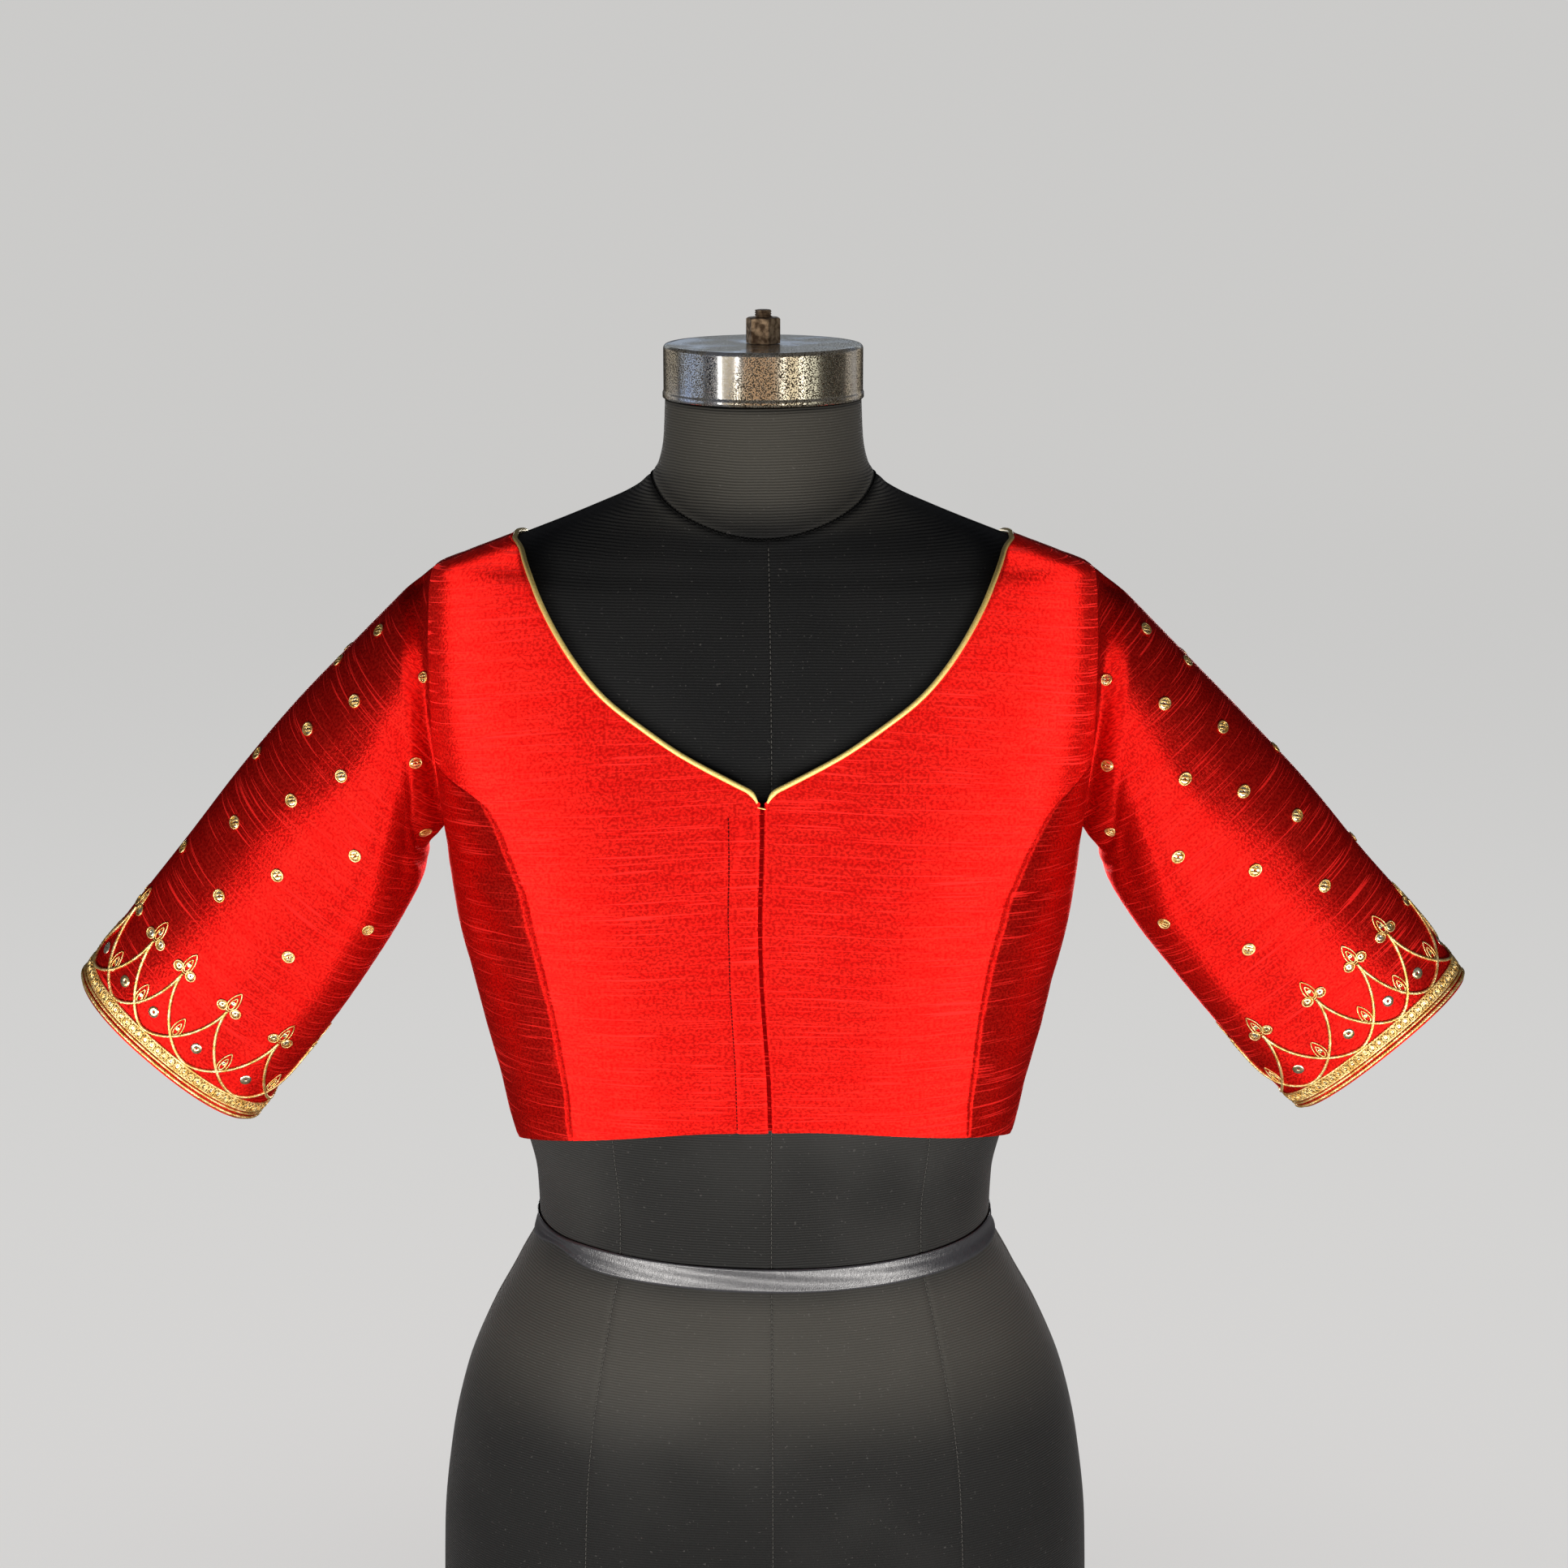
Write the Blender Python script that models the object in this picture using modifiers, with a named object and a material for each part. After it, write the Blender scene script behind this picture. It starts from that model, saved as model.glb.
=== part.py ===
"""A choli blouse worn by a limbless dress form.

The blouse is cut from princess-seamed fronts, side fronts, one back and two elbow sleeves.  Every
panel is an open sheet laid on the form's surface with a little ease, then thickened to a cloth wall.
Metres, +Z up, the front faces -Y, and the form stands on its own flat bottom at the origin.
"""

import math

import bpy
import numpy as np

MM = 0.001

# Cloth and seams
WALL = 1.2 * MM              # thickness of the blouse cloth
SEAM_GAP = 0.3 * MM          # room between two pieces that meet at a seam
TRIM = 0.6 * SEAM_GAP        # what each panel gives up at its edge
REST_GAP = 0.8 * MM          # the cloth's inner face above the form where it rests
SIDE_EASE = 4.0 * MM         # extra room at the sides below the bust
HEM_EASE = 1.6 * MM          # extra room at front and back below the bust
BRIDGE_EASE = 2.6 * MM       # the cloth bridges the hollow between the cups
BRIDGE_WIDTH = 26 * MM
EASE_STARTS = 530 * MM       # below this height the cloth stands a little away from the form
EASE_FULL = 400 * MM
PIPING_RADIUS = 1.15 * MM
PIPING_LIFT = 0.3 * MM       # the cord stands a little proud of the cloth
PIPING_POINTS_FRONT = 22
PIPING_POINTS_BACK = 16
PIPING_ROOM = 0.65 * MM       # between the cloth and the piping, more than a seam for its curve
NECK_CORNER_DROP = 2.3 * MM  # the front corner lies this far under the piping's middle
PLACKET_DROP = 5.0 * MM      # the strip behind the front edges ends under the neck point
PLACKET_ROOM = 0.45 * MM
PLACKET_WIDTH = 18.0 * MM
PLACKET_START = -7.0 * MM     # its edge under the wearer's right front
PLACKET_HEM_RISE = 1.0 * MM
PLACKET_THICKNESS = 1.0 * MM
CLOSURE_GAP = 2.0 * MM       # the fronts meet almost edge to edge

# Heights of the blouse's cut on the form
HEM_SIDE = 328.5 * MM
HEM_FRONT = 366.0 * MM
HEM_BACK = 338.0 * MM
HEM_TILT = 1.0 * MM          # the wearer's left side rides a little higher
ARMPIT = 508.0 * MM
SHOULDER_TIP = 649.0 * MM
SHOULDER_NECK = 667.2 * MM
NECK_POINT = 549.0 * MM      # lowest point of the front neckline
BACK_NECK_POINT = 606.0 * MM
NECK_ROLL = 3.0 * MM         # height over which the neckline turns over the shoulder
FINE_POINTS = 400
SEAM_TOP_TURN = 0.62         # where the princess seam meets the armhole, as a share of its half turn
ARMHOLE_HALF_ANGLE = 13.5    # degrees round the form, either side of the side seam
SILK_RED = (0.80, 0.035, 0.02)

# Rows and columns of the panels
SIDE_ROWS = 10               # from hem to armpit
LOWER_ARM_ROWS = 5           # from armpit to the princess seam, round the armhole
UPPER_ARM_ROWS = 12          # from there to the shoulder tip
SHOULDER_CROWDING = 1.35     # the rows lie closer together where they turn over the shoulder
SEAM_CROWDING = 1.15
CENTRE_COLUMNS = 10
SIDE_COLUMNS = 4
SIDE_TOP_KEEP = 0.80         # the side front's thin top end stops short by a fifth of its last row
BACK_COLUMNS = 12            # from side seam to centre back

# Horizontal sections of the dress form, in millimetres
FORM_COLUMNS = ("height", "half_width", "front", "back", "squareness")
FORM_SECTIONS = [
    (0, 180, 107, 116, 2.15),
    (6, 184, 110, 119, 2.15),
    (50, 185, 111, 123, 2.15),
    (95, 184, 111, 125, 2.15),
    (150, 178, 110, 125, 2.15),
    (190, 169, 107, 119, 2.15),
    (225, 155, 103, 109, 2.1),
    (255, 139, 99, 97, 2.1),
    (285, 126, 95, 88, 2.1),
    (310, 127, 94, 84, 2.1),
    (345, 135, 95, 82, 2.15),
    (385, 144, 98, 84, 2.2),
    (425, 153.5, 103, 88, 2.3),
    (465, 163.5, 108, 92, 2.5),
    (500, 169, 110, 95, 2.7),
    (540, 174, 107, 97, 3.0),
    (580, 178, 99, 98, 3.2),
    (615, 179, 90, 96, 3.0),
    (635, 178.5, 83, 92, 2.6),
    (648, 176, 78, 87, 2.25),
    (655, 161, 74.5, 83, 2.1),
    (662, 143, 70.5, 79, 2.05),
    (669, 125, 66.5, 75, 2.0),
    (676, 107, 62.5, 71, 2.0),
    (683, 90, 59, 67, 2.0),
    (690, 74, 56, 63, 2.0),
    (697, 63, 54, 60, 2.0),
    (706, 56, 52, 58, 2.0),
    (720, 53, 51, 57, 2.0),
    (740.4, 52, 51, 57, 2.0),
]
CUP = {"across": 80 * MM, "height": 484 * MM, "wide": 44 * MM, "tall": 50 * MM, "rise": 12 * MM}
CUP_FADE = 12 * MM           # the cups fade out round the sides over this depth
FORM_AROUND = 48
COVERED_DRAW_IN = 1.3 * MM   # keeps the facets of the form clear of the cloth over it
COVERED_LOW = (345 * MM, 400 * MM)    # heights over which that starts, and over which it ends
COVERED_HIGH = (656 * MM, 666 * MM)
FORM_EXTRA_ROWS = (642, 651.5)   # finer rows where the shoulder turns over, in millimetres

# Front neckline, seen from the front, in millimetres
NECKLINE_COLUMNS = ("height", "across")
FRONT_NECKLINE = [
    (549, 1.0),
    (556, 15.5),
    (561, 25.5),
    (570, 42.5),
    (580, 57.5),
    (598, 82),
    (617, 98.5),
    (635, 110.5),
    (652, 120),
    (660, 124.6),
    (665, 127.2),
    (667.2, 128.6),
]

# The line of the front closure, seen from the front, in millimetres
CLOSURE_COLUMNS = ("height", "across")
CLOSURE_LINE = [
    (360, 3.8),
    (395, 2.9),
    (425, 1.1),
    (455, -0.7),
    (485, -1.4),
    (520, -0.4),
    (552, 0.0),
]

# Princess seams, seen from the front, in millimetres, from the hem to the armhole
PRINCESS_COLUMNS = ("height", "wearers_left", "wearers_right")
PRINCESS_SEAM = [
    (345, 106.5, 99.0),
    (400, 109.7, 104.0),
    (455, 116.6, 113.5),
    (490, 126.6, 122.0),
    (514, 137, 130.5),
    (538, 153, 143),
]

# Sleeve sections seen from the front, in millimetres: the fold above, the fold below, half the depth
SLEEVE_COLUMNS = ("along", "upper_x", "upper_z", "lower_x", "lower_z", "half_depth")
LEFT_SLEEVE = [              # the wearer's left, at +X
    (0.10, 197, 633, 182, 496, 47),
    (0.25, 229, 600.5, 189, 478, 49),
    (0.40, 262, 567, 205, 452.5, 47),
    (0.55, 296, 531, 226, 426, 43),
    (0.70, 328, 493, 252, 395, 38),
    (0.85, 360, 457, 277, 367, 33),
    (1.00, 389, 419, 302, 343, 27),
]
RIGHT_SLEEVE = [             # the wearer's right, measured from the middle as a positive width
    (0.10, 194, 635.5, 182.5, 498, 47),
    (0.25, 222, 607.5, 187, 480, 49),
    (0.40, 252, 577, 199, 456.5, 47),
    (0.55, 284, 540, 217, 428, 44),
    (0.70, 315, 500.5, 238, 398, 40),
    (0.85, 346, 462, 261, 370, 35),
    (1.00, 375, 424.5, 284, 341.5, 29),
]
SLEEVE_SQUARENESS = 2.25
CUFF_LEAN = {1: -2.5 * MM, -1: 3.5 * MM}   # how much lower each cuff's front edge hangs
SLEEVE_RINGS = [0.0, 0.012, 0.028, 0.05, 0.10, 0.18, 0.27, 0.38, 0.50, 0.62, 0.74, 0.87, 1.0]
TABLE_STARTS = 0.10          # along the sleeve: before it the sleeve curves out of the armhole
SLEEVE_HEAD_REACH = 22.0 * MM
ARMPIT_REACH = 5.0 * MM
BACK_ARM_ROWS = LOWER_ARM_ROWS + UPPER_ARM_ROWS

# Folds of the sleeves: where along, the angle round from the upper fold, sizes, depth
FOLD_COLUMNS = ("along", "turn_deg", "length", "spread_deg", "slope_deg", "depth_mm")
SLEEVE_FOLDS = [
    (0.20, 128, 0.13, 13, 60, -4.5),
    (0.34, 112, 0.16, 12, 45, 2.5),
    (0.50, 100, 0.10, 16, -30, -2.0),
    (0.24, 232, 0.13, 13, -60, -4.0),
    (0.45, 252, 0.12, 16, -40, -2.0),
]

# Embroidered border of the cuffs
BAND_HEIGHT = 12.0 * MM
BAND_THICKNESS = 1.0 * MM
BAND_FROM_HEM = 1.2 * MM
MEASURED_FROM = 0.6          # the lower part of the sleeve gives its length for each step along

# Neck cap, nut and rod end of the form
NECK_CENTRE_Y = 3.0 * MM
CAP_BOTTOM = 740.7 * MM
CAP_TOP = 768.7 * MM
CAP_RADIUS = 52.9 * MM
CAP_LIP = 0.9 * MM
CAP_LIP_HEIGHT = 3.5 * MM
CAP_CORNER = 2.2 * MM
NUT_CORNERS = 18.5 * MM
NUT_HEIGHT = 13.5 * MM
ROD_DIAMETER = 9.0 * MM
ROD_ABOVE_NUT = 3.7 * MM
TOUCH_GAP = 0.3 * MM

# Waist tape of the form
TAPE_BOTTOM = 274.0 * MM
TAPE_WIDTH = 13.0 * MM
TAPE_THICKNESS = 0.8 * MM


def clear_scene():
    for old in list(bpy.data.objects):
        bpy.data.objects.remove(old, do_unlink=True)


def smooth_table(places, values, at):
    """Monotone cubic through a table: no value between two rows overshoots either of them."""
    places = np.asarray(places, float)
    values = np.asarray(values, float)
    at = np.asarray(at, float)
    step = np.diff(places)
    rise = np.diff(values) / step
    slope = np.zeros_like(values)
    same = rise[:-1] * rise[1:] > 0
    before = 2 * step[1:] + step[:-1]
    after = step[1:] + 2 * step[:-1]
    safe_low = np.where(same, rise[:-1], 1.0)
    safe_high = np.where(same, rise[1:], 1.0)
    slope[1:-1] = np.where(same, (before + after) / (before / safe_low + after / safe_high), 0.0)
    slope[0] = rise[0]
    slope[-1] = rise[-1]
    row = np.clip(np.searchsorted(places, at) - 1, 0, len(places) - 2)
    share = np.clip((at - places[row]) / step[row], 0, 1)
    left = 1 - share
    return ((1 + 2 * share) * left ** 2 * values[row]
            + share * left ** 2 * step[row] * slope[row]
            + share ** 2 * (3 - 2 * share) * values[row + 1]
            - share ** 2 * left * step[row] * slope[row + 1])


def column(table, names, name):
    """One named column of a table of rows."""
    return np.array([row[names.index(name)] for row in table], float)


def form_size(name, height):
    """A size of the form's horizontal section at a height, in metres."""
    heights = column(FORM_SECTIONS, FORM_COLUMNS, "height") * MM
    sizes = column(FORM_SECTIONS, FORM_COLUMNS, name)
    scale = 1.0 if name == "squareness" else MM
    return smooth_table(heights, sizes * scale, height)


def form_point(angle, height):
    """The form's surface.

    Each horizontal section is a superellipse with its own depth in front and behind.  The angle
    runs from the wearer's left (+X); negative angles are the front.  Two soft round rises on the
    front make the cups.
    """
    angle = np.asarray(angle, float)
    height = np.asarray(height, float) + 0 * angle
    cosine = np.cos(angle)
    sine = np.sin(angle)
    power = form_size("squareness", height)
    depth = np.where(sine < 0, form_size("front", height), form_size("back", height))
    across = np.abs(cosine / form_size("half_width", height)) ** power
    reach = (across + np.abs(sine / depth) ** power) ** (-1 / power)
    x = reach * cosine
    y = reach * sine
    up = ((height - CUP["height"]) / CUP["tall"]) ** 2
    cups = sum(np.exp(-(((x - side * CUP["across"]) / CUP["wide"]) ** 2 + up) / 2)
               for side in (-1, 1))
    front = 1 / (1 + np.exp(y / CUP_FADE))
    return np.stack([x, y - CUP["rise"] * front * cups, height], -1)


def form_solid_point(angle, height):
    """The form's own solid, drawn in a little where the blouse covers it."""
    covered = smooth_step(*COVERED_LOW, height) * (1 - smooth_step(*COVERED_HIGH, height))
    shy = COVERED_DRAW_IN * covered
    return form_point(angle, height) - form_normal(angle, height) * shy[..., None]


def unit(vectors):
    return vectors / np.linalg.norm(vectors, axis=-1, keepdims=True)


def form_normal(angle, height):
    """Outward normal of the form, from two small steps along its surface."""
    turn = 1e-3
    rise = 0.3 * MM
    round_it = form_point(angle + turn, height) - form_point(angle - turn, height)
    up_it = form_point(angle, height + rise) - form_point(angle, height - rise)
    return unit(np.cross(round_it, up_it))


def smooth_step(start, end, value):
    share = np.clip((value - start) / (end - start), 0, 1)
    return share * share * (3 - 2 * share)


def ease(angle, height):
    """Room between the form and the inner face of the cloth."""
    point = form_point(angle, height)
    low = smooth_step(EASE_STARTS, EASE_FULL, point[..., 2])
    side = np.cos(angle) ** 2
    bridge = np.exp(-(point[..., 0] / BRIDGE_WIDTH) ** 2) * (point[..., 1] < 0)
    return (REST_GAP + SIDE_EASE * side * low + HEM_EASE * (1 - side) * low
            + BRIDGE_EASE * bridge)


def cloth_point(angle, height, lift=0.5 * WALL):
    """A point of the blouse, lifted from the inner face of its cloth."""
    return form_point(angle, height) + form_normal(angle, height) * (
        ease(angle, height) + lift)[..., None]


def angle_at(across, height, behind=False):
    """Angle at which the form's section reaches a distance from the middle."""
    power = form_size("squareness", height)
    depth = form_size("back" if behind else "front", height)
    share = np.clip(across / form_size("half_width", height), 0, 1)
    y = depth * (1 - share ** power) ** (1 / power)
    angle = np.arctan2(y, across)
    return angle if behind else -angle


def hem_height(angle, side):
    """The hem rises towards the middle of the front, and a little towards the centre back."""
    rise = np.abs(np.sin(angle)) ** 0.8
    top = np.where(np.asarray(angle) < 0, HEM_FRONT, HEM_BACK)
    tilt = side * HEM_TILT * np.cos(angle)
    return HEM_SIDE + (top - HEM_SIDE) * rise + tilt


def armhole(turn):
    """The armhole as angles and heights; turn 0 is the shoulder tip and pi the armpit."""
    middle = 0.5 * (SHOULDER_TIP + ARMPIT)
    half = 0.5 * (SHOULDER_TIP - ARMPIT)
    angle = -math.radians(ARMHOLE_HALF_ANGLE) * np.sin(turn)
    return angle, middle + half * np.cos(turn)


def front_turns():
    """Turns of the armhole's front half, from armpit to shoulder tip."""
    meet = math.pi * SEAM_TOP_TURN
    lower = np.linspace(math.pi, meet, LOWER_ARM_ROWS + 1)
    upper = np.linspace(meet, 0.0, UPPER_ARM_ROWS + 1)
    return lower, upper


def back_turns():
    """Turns of the armhole's back half, from armpit to shoulder tip."""
    return np.linspace(math.pi, 2 * math.pi, BACK_ARM_ROWS + 1)


def evenly(angle, height, count, crowding=1.0):
    """A finely drawn line on the form, drawn again with fewer points.

    They are evenly spaced, or closer together towards the line's end where crowding is over 1.
    """
    line = form_point(angle, height)
    walked = np.append(0, np.cumsum(np.linalg.norm(np.diff(line, axis=0), axis=1)))
    even = walked[-1] * (1 - (1 - np.linspace(0, 1, count)) ** crowding)
    return np.interp(even, walked, angle), np.interp(even, walked, height)


def princess_seam(side):
    """The princess seam from hem to armhole, as angles and heights, a row for each panel row."""
    heights = column(PRINCESS_SEAM, PRINCESS_COLUMNS, "height") * MM
    name = "wearers_left" if side > 0 else "wearers_right"
    across = column(PRINCESS_SEAM, PRINCESS_COLUMNS, name) * MM
    end_angle, end_height = armhole(np.array([math.pi * SEAM_TOP_TURN]))
    heights = np.append(heights, end_height[0])
    across = np.append(across, form_point(end_angle, end_height)[0, 0])
    low = hem_height(angle_at(across[0], heights[0]), side)
    height = np.linspace(low, end_height[0], FINE_POINTS)
    angle = angle_at(smooth_table(heights, across, height), height)
    angle[-1] = end_angle[0]
    return evenly(angle, height, SIDE_ROWS + LOWER_ARM_ROWS + 1, SEAM_CROWDING)


def side_seam(side):
    """The side seam from hem to armpit."""
    low = hem_height(0.0, side)
    height = np.linspace(low, ARMPIT, SIDE_ROWS + 1)
    return np.zeros_like(height), height


def closure_angle(side, height, offset=0.5 * CLOSURE_GAP):
    """The angle of a line beside the closure, which wanders a little from the middle."""
    heights = column(CLOSURE_LINE, CLOSURE_COLUMNS, "height") * MM
    wander = smooth_table(heights, column(CLOSURE_LINE, CLOSURE_COLUMNS, "across") * MM, height)
    return -0.5 * math.pi + np.arcsin((offset + side * wander) / form_size("front", height))


def front_neckline(count, crowding=1.0):
    """The front neckline from its lowest point to the shoulder."""
    table_height = column(FRONT_NECKLINE, NECKLINE_COLUMNS, "height") * MM
    table_across = column(FRONT_NECKLINE, NECKLINE_COLUMNS, "across") * MM
    height = NECK_POINT + (SHOULDER_NECK - NECK_POINT) * np.linspace(0, 1, FINE_POINTS)
    angle = angle_at(smooth_table(table_height, table_across, height), height)
    fade = smooth_step(SHOULDER_NECK - NECK_ROLL, SHOULDER_NECK, height)
    angle = angle * (1 - fade)
    angle[0] = closure_angle(1, NECK_POINT)
    return evenly(angle, height, count, crowding)


def back_neckline(count, crowding=1.0):
    """The round back neckline from the centre back to the shoulder."""
    share = np.linspace(0, 1, FINE_POINTS) * 0.5 * math.pi
    height = SHOULDER_NECK - (SHOULDER_NECK - BACK_NECK_POINT) * np.cos(share)
    angle = angle_at(form_size("half_width", SHOULDER_NECK) * np.sin(share), height, behind=True)
    fade = smooth_step(SHOULDER_NECK - NECK_ROLL, SHOULDER_NECK, height)
    return evenly(angle * (1 - fade), height, count, crowding)


def front_middle(side):
    """The front edge from hem to neck point, and the neckline on to the shoulder."""
    low = hem_height(-0.5 * math.pi, side)
    edge_height = np.linspace(low, NECK_POINT, SIDE_ROWS + LOWER_ARM_ROWS + 1)[:-1]
    neck = front_neckline(UPPER_ARM_ROWS + 1, SHOULDER_CROWDING)
    return (np.append(closure_angle(side, edge_height), neck[0]), np.append(edge_height, neck[1]))


def back_middle():
    """The centre back from hem to neckline, and the back neckline on to the shoulder."""
    rows = SIDE_ROWS + LOWER_ARM_ROWS
    middle_height = np.linspace(HEM_BACK, BACK_NECK_POINT, rows + 1)
    neck = back_neckline(UPPER_ARM_ROWS + 1, SHOULDER_CROWDING)
    return (np.append(np.full(rows, 0.5 * math.pi), neck[0]),
            np.append(middle_height[:-1], neck[1]))


def ruled(outer, inner, columns, side):
    """Angles and heights of a panel's rows, from its outer seam to its inner seam.

    Each row runs straight from seam to seam; near the hem the rows follow the hem's curve.
    """
    share = np.linspace(0, 1, columns + 1)[None, :]
    angle = outer[0][:, None] * (1 - share) + inner[0][:, None] * share
    height = outer[1][:, None] * (1 - share) + inner[1][:, None] * share
    fade = np.linspace(1, 0, len(outer[0]))[:, None] ** 2
    height = height + (hem_height(angle[0], side) - height[0])[None, :] * fade
    return angle, height


def trimmed(points, edge, distance):
    """The sheet with one edge drawn in, measured square to that edge.

    The edge's two corners move along the seams that meet it there.
    """
    points = points.copy()
    rows = {"inner": points.transpose(1, 0, 2)[::-1], "outer": points.transpose(1, 0, 2),
            "bottom": points, "top": points[::-1]}[edge]
    along = unit(np.gradient(rows[0], axis=0))
    step = rows[1] - rows[0]
    square = step - along * np.sum(step * along, -1, keepdims=True)
    inward = unit(square)
    for end in (0, -1):
        lean = np.linalg.norm(square[end]) / np.linalg.norm(step[end])
        inward[end] = unit(step[end]) / max(lean, 0.5)
    rows[0] += inward * distance
    return points


def panel_points(angle, height, trims, lift=0.5 * WALL):
    """Points of a panel on the form, with its seam allowances trimmed."""
    points = cloth_point(angle, height, lift)
    for edge, distance in trims:
        points = trimmed(points, edge, distance)
    return points


def mirrored(points, side):
    """Points of the wearer's left side, or their mirror image for the right."""
    return points * np.array([side, 1.0, 1.0])


def material(name, colour, roughness, metallic=0.0):
    made = bpy.data.materials.new(name)
    made.use_nodes = True
    shader = made.node_tree.nodes["Principled BSDF"]
    shader.inputs["Base Color"].default_value = (*colour, 1.0)
    shader.inputs["Roughness"].default_value = roughness
    shader.inputs["Metallic"].default_value = metallic
    return made


def place(name, mesh, finish):
    """Puts a mesh in the blouse's collection with its material."""
    made = bpy.data.objects.new(name, mesh)
    mesh.materials.append(finish)
    mesh.shade_smooth()
    COLLECTION.objects.link(made)
    return made


def grid_mesh(name, points, round_it=False, caps=False):
    """A mesh of quads over a grid of points, closed round its columns if asked."""
    rows, columns = points.shape[:2]
    index = np.arange(rows * columns).reshape(rows, columns)
    if round_it:
        index = np.concatenate([index, index[:, :1]], 1)
    quads = np.stack([index[:-1, :-1], index[:-1, 1:], index[1:, 1:], index[1:, :-1]], -1)
    faces = quads.reshape(-1, 4).tolist()
    if caps:
        faces.append(index[0, :-1][::-1].tolist())
        faces.append(index[-1, :-1].tolist())
    mesh = bpy.data.meshes.new(name)
    mesh.from_pydata(points.reshape(-1, 3).tolist(), [], faces)
    mesh.validate()
    return mesh


def sheet(name, points, finish, thickness=WALL, round_it=False):
    """A cloth sheet: an open surface thickened evenly to both sides."""
    made = place(name, grid_mesh(name, points, round_it), finish)
    wall = made.modifiers.new("Wall", "SOLIDIFY")
    wall.thickness = thickness
    wall.offset = 0.0
    wall.use_rim = True
    return made


def front_centre(side, finish):
    """Front with the neckline, from the princess seam and armhole to the front edge."""
    seam = princess_seam(side)
    upper = armhole(front_turns()[1])
    outer = (np.append(seam[0], upper[0][1:]), np.append(seam[1], upper[1][1:]))
    angle, height = ruled(outer, front_middle(side), CENTRE_COLUMNS, side)
    points = panel_points(angle, height, [("outer", TRIM), ("top", TRIM)])
    neck_row = SIDE_ROWS + LOWER_ARM_ROWS
    piped = trimmed(points, "inner", PIPING_RADIUS + PIPING_ROOM)
    points[neck_row + 1:] = piped[neck_row + 1:]
    points[neck_row, -1, 2] -= NECK_CORNER_DROP
    name = "front_centre_left" if side > 0 else "front_centre_right"
    return sheet(name, mirrored(points, side), finish)


def front_side(side, finish):
    """Side front under the arm, from the side seam to the princess seam."""
    lower = armhole(front_turns()[0])
    seam = side_seam(side)
    outer = (np.append(seam[0], lower[0][1:]), np.append(seam[1], lower[1][1:]))
    inner = princess_seam(side)
    angle, height = ruled(outer, inner, SIDE_COLUMNS, side)
    for line in (angle, height):
        line[-1] = line[-2] * (1 - SIDE_TOP_KEEP) + line[-1] * SIDE_TOP_KEEP
    points = panel_points(angle, height, [("outer", TRIM), ("inner", TRIM)])
    name = "front_side_left" if side > 0 else "front_side_right"
    return sheet(name, mirrored(points, side), finish)


def back_panel(finish):
    """The back in one piece, between the side seams, with a round neck."""
    turns = back_turns()
    arm = armhole(turns)
    halves = []
    for side in (1, -1):
        seam = side_seam(side)
        outer = (np.append(seam[0], arm[0][1:]), np.append(seam[1], arm[1][1:]))
        angle, height = ruled(outer, back_middle(), BACK_COLUMNS, side)
        points = panel_points(angle, height, [("outer", TRIM), ("top", TRIM)])
        neck_row = SIDE_ROWS + LOWER_ARM_ROWS
        piped = trimmed(points, "inner", PIPING_RADIUS + PIPING_ROOM)
        points[neck_row + 1:] = piped[neck_row + 1:]
        points[neck_row, -1] += (0, 0, -(PIPING_RADIUS + SEAM_GAP))
        halves.append(mirrored(points, side))
    middle = 0.5 * (halves[0][:, -1:] + halves[1][:, -1:])
    cut = SIDE_ROWS + LOWER_ARM_ROWS
    whole = np.concatenate([halves[0][:, :-1], middle, halves[1][:, :-1][:, ::-1]], 1)
    return back_mesh(whole, halves, cut, finish)


def back_mesh(whole, halves, cut, finish):
    """Joins the two halves below the neckline; above it each shoulder stays apart."""
    columns = halves[0].shape[1]
    left = halves[0][cut:]
    right = halves[1][cut:][:, ::-1]
    lower = whole[:cut + 1]
    index = np.arange(lower.shape[0] * lower.shape[1]).reshape(lower.shape[:2])
    faces = quads_of(index)
    points = [lower.reshape(-1, 3)]
    count = index.size
    for part, bottom in ((left, index[-1, :columns]), (right, index[-1, columns - 1:])):
        upper = np.arange(part[1:].shape[0] * columns).reshape(-1, columns) + count
        faces += quads_of(np.concatenate([bottom[None, :], upper], 0))
        points.append(part[1:].reshape(-1, 3))
        count += upper.size
    mesh = bpy.data.meshes.new("back")
    mesh.from_pydata(np.concatenate(points).tolist(), [], faces)
    made = place("back", mesh, finish)
    wall = made.modifiers.new("Wall", "SOLIDIFY")
    wall.thickness = WALL
    wall.offset = 0.0
    return made


def quads_of(index):
    """Quads over a grid of point numbers."""
    quads = np.stack([index[:-1, :-1], index[:-1, 1:], index[1:, 1:], index[1:, :-1]], -1)
    return quads.reshape(-1, 4).tolist()


def sleeve_ring(side, along, turns):
    """One section of the sleeve: a superellipse between its upper and lower folds."""
    table = LEFT_SLEEVE if side > 0 else RIGHT_SLEEVE
    places = column(table, SLEEVE_COLUMNS, "along")
    upper_x, upper_z, lower_x, lower_z, depth = (
        smooth_table(places, column(table, SLEEVE_COLUMNS, name) * MM, along)
        for name in SLEEVE_COLUMNS[1:])
    centre = np.array([upper_x + lower_x, 0, upper_z + lower_z]) * 0.5
    half = np.array([upper_x - lower_x, 0, upper_z - lower_z]) * 0.5
    downward = unit(np.array([half[2], 0, -half[0]]))
    cosine = np.cos(turns)
    sine = np.sin(turns)
    power = SLEEVE_SQUARENESS
    reach = (np.abs(cosine) ** power + np.abs(sine) ** power) ** (-1 / power)
    lean = CUFF_LEAN[side] * smooth_step(0.5, 1.0, along)
    return (centre + half * (reach * cosine)[:, None]
            + np.array([0, -1, 0]) * (reach * sine * depth)[:, None]
            + downward * (lean * reach * sine)[:, None])


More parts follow.
